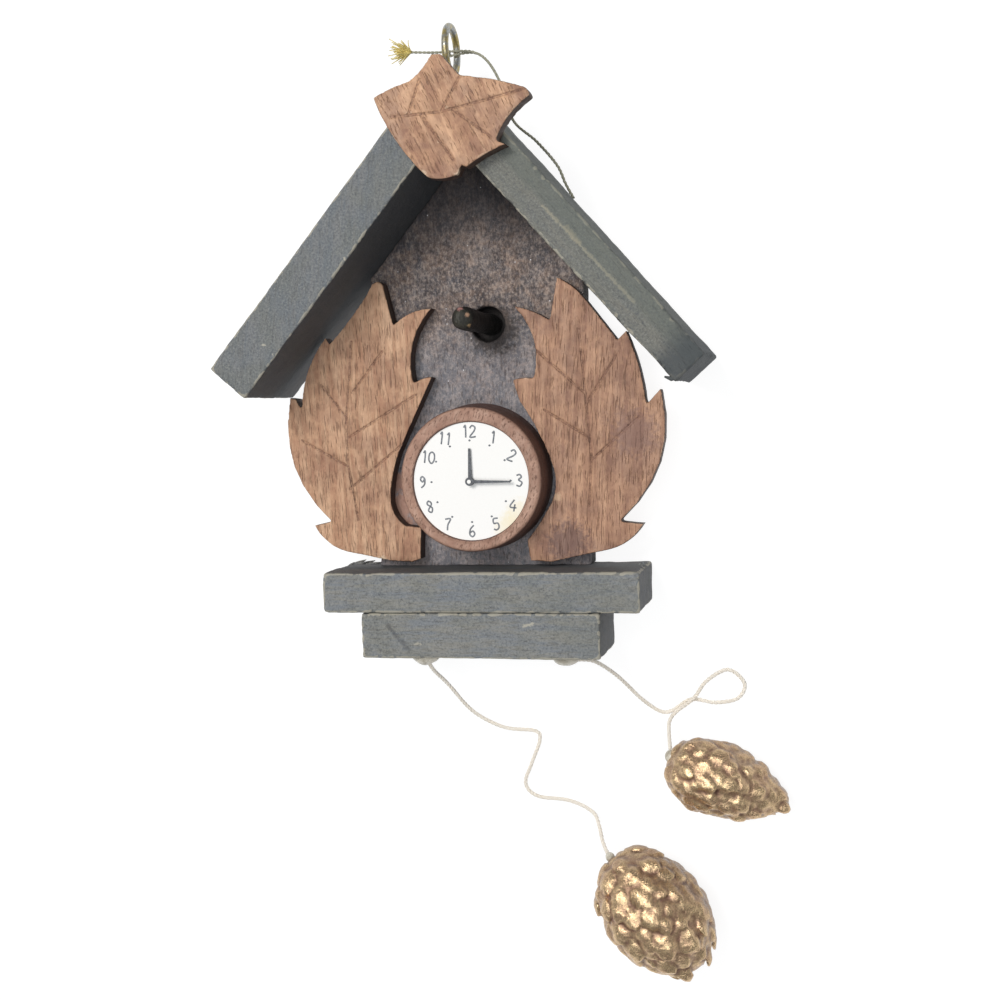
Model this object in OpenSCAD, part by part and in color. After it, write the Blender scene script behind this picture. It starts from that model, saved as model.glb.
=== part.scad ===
// Hanging wooden cuckoo-house clock, lying on its back.
// Millimetres. +X to the right of the dial, +Y up towards the ridge, +Z out of the dial.
// The origin lies on the flat back, straight behind the middle of the dial.

/* [House] */
// Half the width of the gabled back panel
house_half_w = 20; // [16:0.5:24]
// Thickness of the gabled back panel
house_t = 6; // [4:0.5:9]
// Height of the shelf's top below the dial's middle
house_drop = 16; // [15:0.5:20]
// Diameter of the drilled bird door
door_d = 6.4; // [5:0.2:8]
// Depth of the drilled bird door
door_depth = 4; // [2:0.5:5]
// Diameter of the peg that stands for the bird
peg_d = 4; // [3:0.2:5]
// How far the peg stands out of the panel
peg_out = 12; // [6:0.5:16]

/* [Roof] */
// Slope of both roof boards from the level, in degrees
roof_slope = 49.5; // [40:0.5:55]
// Height of the ridge above the dial's middle
ridge_y = 72.1; // [66:0.1:78]
// Offset of the ridge from the centreline
ridge_x = -0.6; // [-1:0.1:1]
// Thickness of the roof boards
roof_t = 7.6; // [5:0.1:10]
// Depth of the roof boards, from the back forwards
roof_depth = 23.5; // [16:0.5:30]
// Outer length of each roof board from the ridge
roof_len = 67.4; // [56:0.1:74]
// How much thicker the left roof board is at its lower end, on its outer face
left_roof_extra = 0.9; // [0:0.1:1.5]
// How much the right roof board thins towards its lower end
right_roof_taper = 0.8; // [0:0.1:1.5]

/* [Base boards] */
// Length of the shelf board
shelf_w = 57.9; // [48:0.1:66]
// Height of the shelf board
shelf_h = 7.3; // [5:0.1:10]
// Depth of the shelf board
shelf_depth = 17.5; // [12:0.5:24]
// Offset of the shelf board from the centreline
shelf_x = 1.4; // [-2:0.1:2]
// Length of the plinth board under the shelf
plinth_w = 43.8; // [36:0.2:50]
// Height of the plinth board
plinth_h = 8.3; // [5:0.1:10]
// Depth of the plinth board
plinth_depth = 17; // [12:0.5:24]
// Offset of the plinth board from the centreline
plinth_x = 1.3; // [-2:0.1:2]

/* [Leaves] */
// Thickness of the three cut-out leaves
leaf_t = 3.2; // [3:0.1:6]
// Width of the cut veins
vein_w = 0.4; // [0.3:0.1:0.8]
// Depth of the cut veins
vein_depth = 0.5; // [0.3:0.1:1]

/* [Dial] */
// Radius of the turned dial ring at its foot
ring_foot_r = 13.5; // [12:0.1:14]
// Radius of the turned dial ring at its front
ring_front_r = 13; // [12:0.1:14]
// How far the ring's outside lies above the middle of the card
ring_lift = 0.4; // [0:0.1:0.8]
// Height of the dial ring above the panel
ring_h = 8.3; // [6:0.1:10]
// Radius of the paper card
card_r = 10.6; // [9:0.1:11.5]
// How deep the card's front lies below the ring's front
card_sink = 0.6; // [0.3:0.1:1.5]
// Length of the hour hand from the arbor
hour_len = 5.9; // [4:0.1:7]
// Length of the minute hand from the arbor
minute_len = 7.5; // [5:0.1:9]
// Radius of the fixed arbor pin that both hands turn on
arbor_r = 0.35; // [0.3:0.05:0.5]

/* [Fittings] */
// Outer diameter of the screw eye
eye_d = 9.4; // [7:0.2:12]
// Wire diameter of the screw eye
eye_wire = 1.3; // [1:0.1:2]
// Diameter of the hanging thread
thread_d = 0.5; // [0.4:0.05:0.8]
// Diameter of the two weight cords
cord_d = 0.75; // [0.6:0.05:1.2]
// Length of the larger cone
big_cone_len = 25; // [18:0.5:30]
// Largest radius of the larger cone
big_cone_r = 9.3; // [7:0.1:12]
// Length of the smaller cone
small_cone_len = 23.5; // [16:0.5:28]
// Largest radius of the smaller cone
small_cone_r = 7; // [5:0.1:9]

/* [Hidden] */
$fn = 48;

charcoal = [0.22, 0.22, 0.21];
slate = [0.38, 0.41, 0.42];
leaf_brown = [0.60, 0.42, 0.33];
ring_brown = [0.50, 0.33, 0.26];
card_white = [0.96, 0.95, 0.91];
ink = [0.22, 0.22, 0.24];
brass = [0.72, 0.62, 0.32];
string_cream = [0.80, 0.74, 0.62];
gilt = [0.72, 0.56, 0.28];
glue_clear = [0.72, 0.68, 0.60, 0.8];

// Roof geometry: unit run and rise of the slope, and the ridge of the inner faces.
run = cos(roof_slope);
rise = sin(roof_slope);
inner_ridge_y = ridge_y - roof_t / run;
shelf_top = -house_drop;
shelf_bottom = shelf_top - shelf_h;
plinth_bottom = shelf_bottom - plinth_h;
leaf_front = house_t + leaf_t;
ring_front = house_t + ring_h;
card_front = ring_front - card_sink;
card_t = 0.3;

// Door and peg positions.
door = [2.1, 28.3];
peg_foot = [2, 28.3, 2.2];
peg_tip = [0.5, 28.8, house_t + peg_out];

// Screw eye: middle of the ring.
eye_mid = [-1.5, 76.3, 12];
eye_r = (eye_d - eye_wire) / 2;
shank_end = 61;

// Leaf outlines, clockwise: corner x, y, then the bulge of the edge that follows
// as a fraction of its length, positive to the left of the way round.
left_outline = [
    [-17.3, 36.8, 0], [-16.3, 36.3, 0], [-14.5, 28.6, 0.1], [-7.2, 31.4, -0.13],
    [-11.1, 17.9, 0.08], [-7.5, 19, 0], [-14.4, 5.1, -0.03], [-16.2, -2.5, -0.13],
    [-13.6, -8.2, 0], [-10.5, -8.6, 0], [-10.8, -14.4, 0], [-12.6, -15, 0],
    [-16.5, -14.7, 0], [-25, -13, 0.11], [-31.3, -8, 0], [-27.9, -7.3, 0.145],
    [-35.2, 16, 0], [-34, 15.8, 0], [-33, 13.5, 0.09], [-27.7, 27, 0],
    [-27, 25.6, -0.03], [-18.2, 36.4, 0]];
right_outline = [
    [16.6, 35.6, 0.05], [20.9, 32, 0], [26.6, 24.3, 0], [28.2, 25.8, 0.04],
    [31.5, 12.8, 0], [34.1, 15.6, 0.15], [26.1, -7.9, 0], [30.4, -8.4, 0.1],
    [24.3, -12.9, 0], [13.6, -15.1, 0], [9.7, -14.8, 0], [9.2, -11.1, -0.03],
    [12.9, -6, -0.14], [14, 3.2, -0.03], [8.6, 14, 0], [7.4, 17.9, 0.05],
    [11.3, 18.1, -0.14], [8, 31.1, 0.05], [14.5, 28.3, 0], [16, 35.8, 0]];
ridge_outline = [
    [-0.8, 72.2, 0], [0.8, 72, 0], [3.9, 68.3, 0.03], [15, 65.4, 0.1],
    [15.8, 64.1, -0.08], [9.8, 57.2, 0], [11.5, 56.4, -0.04], [4.6, 53.1, 0],
    [3.8, 53.5, 0], [3.1, 52, 0.1], [-2.2, 51.9, 0.06], [-11.2, 65.7, 0.03],
    [-5, 67.9, -0.06]];

// Vein cuts: start x, y and end x, y.
left_veins = [
    [-22.7, 26, -24.3, 11], [-24.3, 11.2, -24.2, 3], [-24.2, 3.2, -22.6, -7],
    [-16.8, 24, -22.9, 16.6], [-10.7, 15.8, -24, 8.3], [-13.6, 6.8, -24, -1.2],
    [-28.9, 18.2, -24.2, 12], [-33.1, 8, -24.3, 3]];
right_veins = [
    [19.7, 26.5, 20.5, 16], [20.5, 16.2, 21.4, 4], [21.4, 4.2, 20.8, -5],
    [11.7, 23.2, 20.4, 15.2], [26.3, 21.6, 20.7, 13.2], [13, 12.4, 21, 7.2],
    [30.4, 10.9, 21.3, 3.1]];
ridge_veins = [
    [15, 65.2, 8.8, 64], [9, 64, 0.3, 62.5], [0.5, 62.5, -8.2, 62.3],
    [3.9, 68, 0.6, 62.6], [-3, 68.2, -5.2, 62.4], [-3, 62.4, 2.5, 54.3],
    [2.5, 62.8, 9, 57.8]];

// Route points of the thread: cut end, through the eye, out along the slope and back.
thread_route = [
    [-9.6, 77, 10.6], [-5, 76.7, 10], [-1.5, 76.8, 9.2], [2, 76.3, 9.4],
    [4.8, 74.1, 9.9], [7.2, 69.5, 10], [9, 63.6, 10], [13, 59.8, 10],
    [16.6, 55.4, 10], [18.1, 51.9, 9.8], [19.2, 49.7, 9.2], [18.8, 50.2, 8.5],
    [17.8, 52.2, 8.9], [16.4, 55.5, 9.2], [12.8, 59.9, 9.2], [8.8, 63.8, 9.2],
    [7, 69.7, 9.2], [4.6, 74.3, 9.1], [1.8, 76.4, 8.6], [-2.7, 76, 9.3]];

// Route points of the weight cords, from the plinth's underside to the cones.
left_route = [
    [-9.5, -31.8, 13], [-9.1, -34.4, 11.2], [-7.3, -38.2, 7], [-3.9, -44.2, 2.4],
    [1.6, -47.5, 0.7], [7.4, -48.1, 0.45], [8.4, -49.8, 0.45], [6.7, -54.3, 0.45],
    [5.4, -58.2, 0.45], [7.6, -60.6, 0.45], [13.8, -61.3, 0.45], [18.2, -63.2, 0.9],
    [19.7, -65.2, 2.8], [20.8, -67.6, 5.4], [22.4, -69.6, 7.8]];
right_route = [
    [16.6, -31.8, 13], [18.4, -32.2, 12.6], [21.2, -32.8, 11.2], [24.4, -36.4, 6],
    [28.2, -41.4, 2], [31.4, -43.9, 0.6], [33.6, -43.7, 0.45], [37, -41.6, 0.45],
    [41.6, -42.1, 0.45], [45.6, -41.2, 0.45], [46.8, -38.4, 0.6], [43.9, -35.9, 1],
    [40, -38, 1.4], [37.6, -41.2, 1.4], [34.4, -43.7, 1.5], [33.2, -45.4, 2.3],
    [33.4, -47.6, 4.8], [34, -50, 8]];

// Outline with each bulged edge drawn as six short chords.
function bent(p) = [for (i = [0:len(p) - 1])
    let (a = p[i], b = p[(i + 1) % len(p)], n = a[2] == 0 ? 1 : 6,
        dx = b[0] - a[0], dy = b[1] - a[1])
    for (k = [0:n - 1]) let (t = k / n, s = 4 * a[2] * t * (1 - t))
        [a[0] + dx * t - dy * s, a[1] + dy * t + dx * s]];

// Smooth curve through the route points, m steps to each stretch.
function catmull(a, b, c, d, t) = 0.5 * (2 * b + (c - a) * t
    + (2 * a - 5 * b + 4 * c - d) * t * t
    + (3 * b - a - 3 * c + d) * t * t * t);
function route_curve(r, m) = concat([for (i = [0:len(r) - 2], k = [0:m - 1])
    catmull(r[max(i - 1, 0)], r[i], r[i + 1], r[min(i + 2, len(r) - 1)], k / m)],
    [r[len(r) - 1]]);
function unit(v) = v / norm(v);
function way(c, i) = unit(c[min(i + 1, len(c) - 1)] - c[max(i - 1, 0)]);
// Side direction carried along the curve so that the tube does not twist.
function square_to(v, t) = unit(v - (v * t) * t);
function sides(c, i, v) = i >= len(c) ? []
    : let (w = square_to(v, way(c, i))) concat([w], sides(c, i + 1, w));

// A round cord as one closed skin of eight-sided rings.
module tube(route, d, m) {
    c = route_curve(route, m);
    n = len(c);
    u = sides(c, 0, [0.05, 0.1, 1]);
    pts = concat([for (i = [0:n - 1]) let (v = cross(way(c, i), u[i]))
        for (k = [0:7]) c[i] + d / 2 * (cos(k * 45) * u[i] + sin(k * 45) * v)],
        [c[0], c[n - 1]]);
    faces = concat(
        [for (i = [0:n - 2], k = [0:7]) let (a = i * 8 + k, b = i * 8 + (k + 1) % 8)
            [a, a + 8, b + 8]],
        [for (i = [0:n - 2], k = [0:7]) let (a = i * 8 + k, b = i * 8 + (k + 1) % 8)
            [a, b + 8, b]],
        [for (k = [0:7]) [n * 8, k, (k + 1) % 8]],
        [for (k = [0:7]) [n * 8 + 1, (n - 1) * 8 + (k + 1) % 8, (n - 1) * 8 + k]]);
    polyhedron(points = pts, faces = faces, convexity = 6);
}

// Seed cone: rows of scales stand out as staggered saw teeth round a swelling body.
around = 40;
rings = 36;
function tooth(u, v, rows, cols) = let (a = u * rows, row = floor(a), f = a - row,
    g = v * cols + 0.5 * (row % 2), s = 2 * (g - floor(g)) - 1) f * (1 - s * s);
module seed_cone(length, r, lean, blunt, rows, cols, relief) {
    pts = concat([[0, 0, 0]],
        [for (i = [1:rings - 1], k = [0:around - 1])
            let (u = i / rings, v = k / around,
                body = (r - relief) * pow(sin(180 * pow(u, lean)), blunt),
                q = body + relief * tooth(u, v, rows, cols) * min(1, 5 * (1 - u)))
            [q * cos(360 * v), q * sin(360 * v), u * length]],
        [[0, 0, length]]);
    last = (rings - 1) * around + 1;
    faces = concat(
        [for (k = [0:around - 1]) [0, 1 + k, 1 + (k + 1) % around]],
        [for (i = [0:rings - 3], k = [0:around - 1])
            let (a = 1 + i * around + k, b = 1 + i * around + (k + 1) % around)
            [a, a + around, b + around]],
        [for (i = [0:rings - 3], k = [0:around - 1])
            let (a = 1 + i * around + k, b = 1 + i * around + (k + 1) % around)
            [a, b + around, b]],
        [for (k = [0:around - 1])
            [last, last - around + (k + 1) % around, last - around + k]]);
    polyhedron(points = pts, faces = faces, convexity = 6);
}

// Mitred roof board as a flat outline; side is -1 for the left, 1 for the right.
// Below the ridge it thickens outwards to extra, and its inner face thins it by taper.
function lower_inner(side, taper) = [
    ridge_x + side * (roof_len * run - (roof_t - taper) * rise),
    ridge_y - roof_len * rise - (roof_t - taper) * run];
module roof_outline(side, extra, taper) {
    up = [side * extra * rise, extra * run];
    down = [side * run, -rise];
    ridge = [ridge_x, ridge_y];
    polygon([ridge, ridge + 6 * down + 0.6 * up, ridge + roof_len * down + up,
        lower_inner(side, taper), [ridge_x, inner_ridge_y]]);
}

// Cut veins into a leaf's front at height z.
module vein_cuts(veins, z) {
    for (v = veins) {
        translate([v[0], v[1], z - vein_depth])
            rotate([0, 0, atan2(v[3] - v[1], v[2] - v[0])])
            translate([0, -vein_w / 2, 0])
            cube([norm([v[2] - v[0], v[3] - v[1]]), vein_w, 2]);
    }
}

// Round bar from point a to point b.
module bar(a, b, r1, r2) {
    d = b - a;
    translate(a)
        rotate([0, acos(d[2] / norm(d)), atan2(d[1], d[0])])
        cylinder(r1 = r1, r2 = r2, h = norm(d));
}

// Cap of hardened glue, standing out of a flat face towards -Y.
module glue_cap(p, half_w, out) {
    r = (half_w * half_w + out * out) / (2 * out);
    difference() {
        translate([p[0], p[1] - out + r, p[2]]) sphere(r = r);
        translate([p[0] - 2 * r, p[1], p[2] - 2 * r]) cube(4 * r);
    }
}

module house_block() {
    shoulder_l = inner_ridge_y - (ridge_x + house_half_w) * rise / run;
    low = lower_inner(1, right_roof_taper);
    shoulder_r = inner_ridge_y
        - (house_half_w - ridge_x) * (inner_ridge_y - low[1]) / (low[0] - ridge_x);
    color(charcoal) difference() {
        linear_extrude(house_t) polygon([[-house_half_w, shelf_top],
            [house_half_w, shelf_top], [house_half_w, shoulder_r],
            [ridge_x, inner_ridge_y], [-house_half_w, shoulder_l]]);
        translate([door[0], door[1], house_t - door_depth])
            cylinder(d = door_d, h = door_depth + 1);
    }
}

module left_roof_board() {
    color(slate) difference() {
        linear_extrude(roof_depth) roof_outline(-1, left_roof_extra, 0);
        bar([eye_mid[0], ridge_y + 2, eye_mid[2]], [eye_mid[0], shank_end, eye_mid[2]],
            eye_wire / 2, eye_wire / 2);
    }
}

module right_roof_board() {
    color(slate) linear_extrude(roof_depth) roof_outline(1, 0, right_roof_taper);
}

module shelf_board() {
    color(slate) translate([shelf_x - shelf_w / 2, shelf_bottom, 0])
        cube([shelf_w, shelf_h, shelf_depth]);
}

module plinth_board() {
    color(slate) translate([plinth_x - plinth_w / 2, plinth_bottom, 0])
        cube([plinth_w, plinth_h, plinth_depth]);
}

module left_leaf() {
    color(leaf_brown) translate([-0.4, 0, 0]) difference() {
        translate([0, 0, house_t]) linear_extrude(leaf_t) polygon(bent(left_outline));
        vein_cuts(left_veins, leaf_front);
    }
}

module right_leaf() {
    color(leaf_brown) translate([-0.2, 0, 0]) difference() {
        translate([0, 0, house_t]) linear_extrude(leaf_t) polygon(bent(right_outline));
        vein_cuts(right_veins, leaf_front);
    }
}

module ridge_leaf() {
    color(leaf_brown) translate([-0.3, 0.2, 0]) difference() {
        translate([0, 0, roof_depth]) linear_extrude(leaf_t) polygon(bent(ridge_outline));
        vein_cuts(ridge_veins, roof_depth + leaf_t);
    }
}

module dial_ring() {
    lip = card_r + 0.1;
    color(ring_brown) difference() {
        translate([0, ring_lift, 0])
            rotate_extrude() polygon([[0, house_t], [ring_foot_r, house_t],
                [ring_front_r, ring_front - 1], [ring_front_r - 0.3, ring_front - 0.3],
                [ring_front_r - 1, ring_front], [0, ring_front]]);
        translate([0, 0, card_front - card_t]) cylinder(r = lip, h = 3);
        translate([0, 0, card_front - 4]) cylinder(r = arbor_r, h = 6);
    }
}

module dial_card() {
    color(card_white) difference() {
        translate([0, 0, card_front - card_t]) cylinder(r = card_r, h = card_t);
        translate([0, 0, card_front - 4]) cylinder(r = arbor_r, h = 6);
    }
}

// A tapering hand that points along +Y, with a round boss and a running bore.
module hand(length, z, w_foot, w_tip, t, boss) {
    translate([0, 0, z]) difference() {
        union() {
            linear_extrude(t) polygon([[-w_foot / 2, 0], [-w_tip / 2, length],
                [w_tip / 2, length], [w_foot / 2, 0]]);
            cylinder(r = boss, h = t);
        }
        translate([0, 0, -1]) cylinder(r = arbor_r + 0.05, h = t + 2);
    }
}

module hour_hand() {
    color(ink) hand(hour_len, card_front + 0.3, 0.7, 0.35, 0.3, 0.75);
}

module minute_hand() {
    color(ink) rotate([0, 0, -91]) hand(minute_len, card_front + 0.9, 0.6, 0.3, 0.3, 0.75);
}

module hand_pin() {
    color(brass) translate([0, 0, card_front - 4]) cylinder(r = arbor_r, h = 5.4);
}

// A turned peg with a softened end, leaning a little to the left.
module door_peg() {
    d = peg_tip - peg_foot;
    r = peg_d / 2;
    h = norm(d) + 1.2;
    color(charcoal) translate(peg_foot)
        rotate([0, acos(d[2] / norm(d)), atan2(d[1], d[0])])
        rotate_extrude() polygon([[0, 0], [r, 0], [r, h - 1.4], [r - 0.2, h - 0.8],
            [r - 0.6, h - 0.3], [r - 1.2, h], [0, h]]);
}

module screw_eye() {
    color(brass) union() {
        translate(eye_mid) rotate([0, 90, 0])
            rotate_extrude() translate([eye_r, 0]) circle(d = eye_wire, $fn = 24);
        bar([eye_mid[0], eye_mid[1] - eye_r, eye_mid[2]],
            [eye_mid[0], shank_end, eye_mid[2]], eye_wire / 2, eye_wire / 2);
    }
}

module hanging_thread() {
    color(brass) tube(thread_route, thread_d, 1);
}

module thread_knot() {
    color(brass) translate([-2.9, 76.4, 9.3]) sphere(r = 0.65, $fn = 24);
}

module thread_fray() {
    root = [-9.4, 77, 10.6];
    ends = [[-13, 78.2, 11], [-13.3, 77.4, 10.2], [-13.1, 76.6, 11.2],
        [-12.3, 75.9, 10.4], [-11.9, 78.4, 10.3], [-12.6, 77.2, 11.7]];
    color(brass) union() {
        translate(root) sphere(r = 0.4, $fn = 24);
        for (e = ends) bar(root, e, 0.16, 0.12);
    }
}

module left_cord() {
    color(string_cream) tube(left_route, cord_d, 2);
}

module left_cord_glue() {
    color(glue_clear) glue_cap([-9.6, plinth_bottom, 13], 2.7, 1.6);
}

module left_cone() {
    color(gilt) translate([22.8, -69.2, 9.05]) rotate([90, 0, 39.7])
        seed_cone(big_cone_len, big_cone_r, 0.95, 0.5, 9, 10, 0.9);
}

module left_cone_glue() {
    color(glue_clear) translate([22.5, -69.4, 8.1]) sphere(r = 1, $fn = 24);
}

module right_cord() {
    color(string_cream) tube(right_route, cord_d, 2);
}

module right_cord_glue() {
    color(glue_clear) glue_cap([16.4, plinth_bottom, 13], 2.6, 1.5);
}

module right_cone() {
    color(gilt) translate([33.4, -51, 8.95]) rotate([90 + 12, 0, 67.6])
        seed_cone(small_cone_len, small_cone_r, 0.72, 0.62, 10, 9, 0.7);
}

module right_cone_glue() {
    color(glue_clear) translate([34, -50.3, 8.2]) sphere(r = 1, $fn = 24);
}

house_block();
left_roof_board();
right_roof_board();
shelf_board();
plinth_board();
left_leaf();
right_leaf();
ridge_leaf();
dial_ring();
dial_card();
hour_hand();
minute_hand();
hand_pin();
door_peg();
screw_eye();
hanging_thread();
thread_knot();
thread_fray();
left_cord();
left_cord_glue();
left_cone();
left_cone_glue();
right_cord();
right_cord_glue();
right_cone();
right_cone_glue();
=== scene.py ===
# %% [markdown]
# # A hanging wooden cuckoo house
#
# The object is a small handmade ornament in the shape of a cuckoo clock. Painted boards make the
# roof and the base, cut-out leaves are glued round a turned dial, and two gilded seed cones lie on
# slack cords. It lies on its back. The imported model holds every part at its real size, and this
# file gives each part its worn edges, its grain and its finish.
#
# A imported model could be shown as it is, but its arrises are knife-sharp and its faces are flat
# triangles. So the wooden parts are copied to an even grid that can be rounded and chipped, and
# the cones, the cords and the eye are made again as finer pieces in the same places.

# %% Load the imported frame
import math
import random

import bmesh
import bpy
import numpy as np
from mathutils import Matrix, Vector, noise


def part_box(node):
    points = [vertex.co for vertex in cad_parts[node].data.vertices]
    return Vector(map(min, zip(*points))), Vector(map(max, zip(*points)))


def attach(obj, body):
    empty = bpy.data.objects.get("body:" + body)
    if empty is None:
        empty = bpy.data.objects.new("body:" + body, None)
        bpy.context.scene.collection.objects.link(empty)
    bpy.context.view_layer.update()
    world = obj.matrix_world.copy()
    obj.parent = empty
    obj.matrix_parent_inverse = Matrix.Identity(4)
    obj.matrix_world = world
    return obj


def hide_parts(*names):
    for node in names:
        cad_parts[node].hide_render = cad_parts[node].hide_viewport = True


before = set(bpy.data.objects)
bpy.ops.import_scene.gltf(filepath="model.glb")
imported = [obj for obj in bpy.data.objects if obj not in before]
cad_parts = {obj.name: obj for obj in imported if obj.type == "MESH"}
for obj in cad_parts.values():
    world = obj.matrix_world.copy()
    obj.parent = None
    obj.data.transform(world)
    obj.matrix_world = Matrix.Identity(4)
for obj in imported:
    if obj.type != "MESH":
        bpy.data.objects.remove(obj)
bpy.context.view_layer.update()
mm = 0.001
print("nodes in the frame:", len(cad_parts))

# %% [markdown]
# ## Camera
#
# The object is seen from above, a little from its right and its top, from about a quarter of a
# metre. A camera can be aimed with a constraint, or by building its axes. The axes are built here,
# because they also fix how far the picture is rolled: `forward` is where it looks and `up` is the
# top of the picture.

# %% Camera
camera = bpy.data.objects.new("camera", bpy.data.cameras.new("camera"))
bpy.context.scene.collection.objects.link(camera)
bpy.context.scene.camera = camera
camera.data.sensor_width = 36
camera.data.lens = 51.5
camera.data.clip_start = 0.01
camera.data.clip_end = 20
camera_place = Vector((64.4, 13.2, 261.3)) * mm
forward = Vector((-0.2318, -0.0652, -0.9706)).normalized()
right = forward.cross(Vector((0.0151, 0.9974, -0.0706))).normalized()
up = right.cross(forward)
axes = Matrix((right, up, -forward)).transposed().to_4x4()
camera.matrix_world = Matrix.Translation(camera_place) @ axes
print("camera at", tuple(round(x, 4) for x in camera_place))

# %% [markdown]
# ## Floor and light
#
# The ornament lies on a pale surface in soft daylight that comes from the upper left. A single
# sun would give hard shadows, so the key light is a broad area light, and a pale world fills the
# shade. The floor glows, as backlit paper does, so that it stays near white even in the shadows.

# %% Floor and light
floor_bm = bmesh.new()
bmesh.ops.create_grid(floor_bm, x_segments=1, y_segments=1, size=2)
floor_mesh = bpy.data.meshes.new("floor")
floor_bm.to_mesh(floor_mesh)
floor_bm.free()
floor_mesh.transform(Matrix.Translation((0, 0, -0.0002)))
floor = bpy.data.objects.new("floor", floor_mesh)
bpy.context.scene.collection.objects.link(floor)
floor_paint = bpy.data.materials.new("pale_floor")
floor_paint.use_nodes = True
floor_shader = floor_paint.node_tree.nodes["Principled BSDF"]
floor_shader.inputs["Base Color"].default_value = (0.2, 0.2, 0.2, 1)
floor_shader.inputs["Roughness"].default_value = 0.9
floor_shader.inputs["Emission Color"].default_value = (1, 1, 1, 1)
floor_shader.inputs["Emission Strength"].default_value = 0.88
floor_mesh.materials.append(floor_paint)

world = bpy.data.worlds.new("pale_room")
world.use_nodes = True
world.node_tree.nodes["Background"].inputs["Color"].default_value = (0.93, 0.96, 1.0, 1)
world.node_tree.nodes["Background"].inputs["Strength"].default_value = 0.15
bpy.context.scene.world = world
bpy.context.scene.view_settings.view_transform = "Standard"


def area_light(name, place, size, power, colour):
    """A square light at place that shines towards the origin, all in millimetres."""
    lamp = bpy.data.lights.new(name, "AREA")
    lamp.size = size * mm
    lamp.energy = power
    lamp.color = colour
    holder = bpy.data.objects.new(name, lamp)
    bpy.context.scene.collection.objects.link(holder)
    turn = (-Vector(place)).normalized().to_track_quat("-Z", "Y").to_matrix().to_4x4()
    holder.matrix_world = Matrix.Translation(Vector(place) * mm) @ turn


area_light("window", (-200, 260, 620), size=260, power=2.7, colour=(1.0, 0.97, 0.94))
area_light("ceiling", (60, -60, 900), size=600, power=3.9, colour=(0.97, 0.985, 1.0))
print("two area lights and a pale world")

# %% [markdown]
# ## Cords
#
# A cord is one smooth route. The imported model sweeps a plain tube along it, and here the same
# route carries real plies. The route's points are the model's own, in millimetres, and a
# Catmull-Rom curve runs through them, so both follow the same line. A twisted cord could be a
# bump map, but up close its outline would stay smooth, so each ply is a helix of its own.

# %% Routes of the thread and of the two weight cords
thread_points = [
    (-9.6, 77, 10.6), (-5, 76.7, 10), (-1.5, 76.8, 9.2), (2, 76.3, 9.4),
    (4.8, 74.1, 9.9), (7.2, 69.5, 10), (9, 63.6, 10), (13, 59.8, 10),
    (16.6, 55.4, 10), (18.1, 51.9, 9.8), (19.2, 49.7, 9.2), (18.8, 50.2, 8.5),
    (17.8, 52.2, 8.9), (16.4, 55.5, 9.2), (12.8, 59.9, 9.2), (8.8, 63.8, 9.2),
    (7, 69.7, 9.2), (4.6, 74.3, 9.1), (1.8, 76.4, 8.6), (-2.7, 76, 9.3)]
left_cord_points = [
    (-9.5, -31.8, 13), (-9.1, -34.4, 11.2), (-7.3, -38.2, 7), (-3.9, -44.2, 2.4),
    (1.6, -47.5, 0.7), (7.4, -48.1, 0.45), (8.4, -49.8, 0.45), (6.7, -54.3, 0.45),
    (5.4, -58.2, 0.45), (7.6, -60.6, 0.45), (13.8, -61.3, 0.45), (18.2, -63.2, 0.9),
    (19.7, -65.2, 2.8), (20.8, -67.6, 5.4), (22.4, -69.6, 7.8)]
right_cord_points = [
    (16.6, -31.8, 13), (18.4, -32.2, 12.6), (21.2, -32.8, 11.2), (24.4, -36.4, 6),
    (28.2, -41.4, 2), (31.4, -43.9, 0.6), (33.6, -43.7, 0.45), (37, -41.6, 0.45),
    (41.6, -42.1, 0.45), (45.6, -41.2, 0.45), (46.8, -38.4, 0.6), (43.9, -35.9, 1),
    (40, -38, 1.4), (37.6, -41.2, 1.4), (34.4, -43.7, 1.5), (33.2, -45.4, 2.3),
    (33.4, -47.6, 4.8), (34, -50, 8)]


def smooth_route(points, steps):
    """Points along a Catmull-Rom curve through the given ones, with steps to each stretch."""
    p = [Vector(q) for q in points]
    dense = []
    for i in range(len(p) - 1):
        a, b, c, d = p[max(i - 1, 0)], p[i], p[i + 1], p[min(i + 2, len(p) - 1)]
        for k in range(steps):
            t = k / steps
            dense.append(0.5 * (2 * b + (c - a) * t + (2 * a - 5 * b + 4 * c - d) * t * t
                                + (3 * b - a - 3 * c + d) * t ** 3))
    return dense + [p[-1]]


def route_length(points):
    """Length along the points, in their own units."""
    return sum((b - a).length for a, b in zip(points, points[1:]))


thread_route = smooth_route(thread_points, 24)
left_cord_route = smooth_route(left_cord_points, 24)
right_cord_route = smooth_route(right_cord_points, 24)
print("thread", round(route_length(thread_route), 1), "mm, left cord",
      round(route_length(left_cord_route), 1), "mm, right cord",
      round(route_length(right_cord_route), 1), "mm")

# %% [markdown]
# Every round strand in this file is made the same way: a curve with a round bevel, which is turned
# into a mesh. One curve can hold many separate lines, and each point may be thinner or thicker.

# %% Round strands along lines
def new_object(name, mesh):
    """Put a mesh in the scene as an object at the origin."""
    made = bpy.data.objects.new(name, mesh)
    bpy.context.scene.collection.objects.link(made)
    return made


def shade_smooth(mesh):
    """Shade a mesh as one smooth skin."""
    for face in mesh.polygons:
        face.use_smooth = True
    return mesh


def closed_and_outward(mesh):
    """Merge doubled points and turn every face outwards."""
    work = bmesh.new()
    work.from_mesh(mesh)
    bmesh.ops.remove_doubles(work, verts=work.verts, dist=1e-7)
    bmesh.ops.recalc_face_normals(work, faces=work.faces)
    work.to_mesh(mesh)
    work.free()
    return shade_smooth(mesh)


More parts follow.
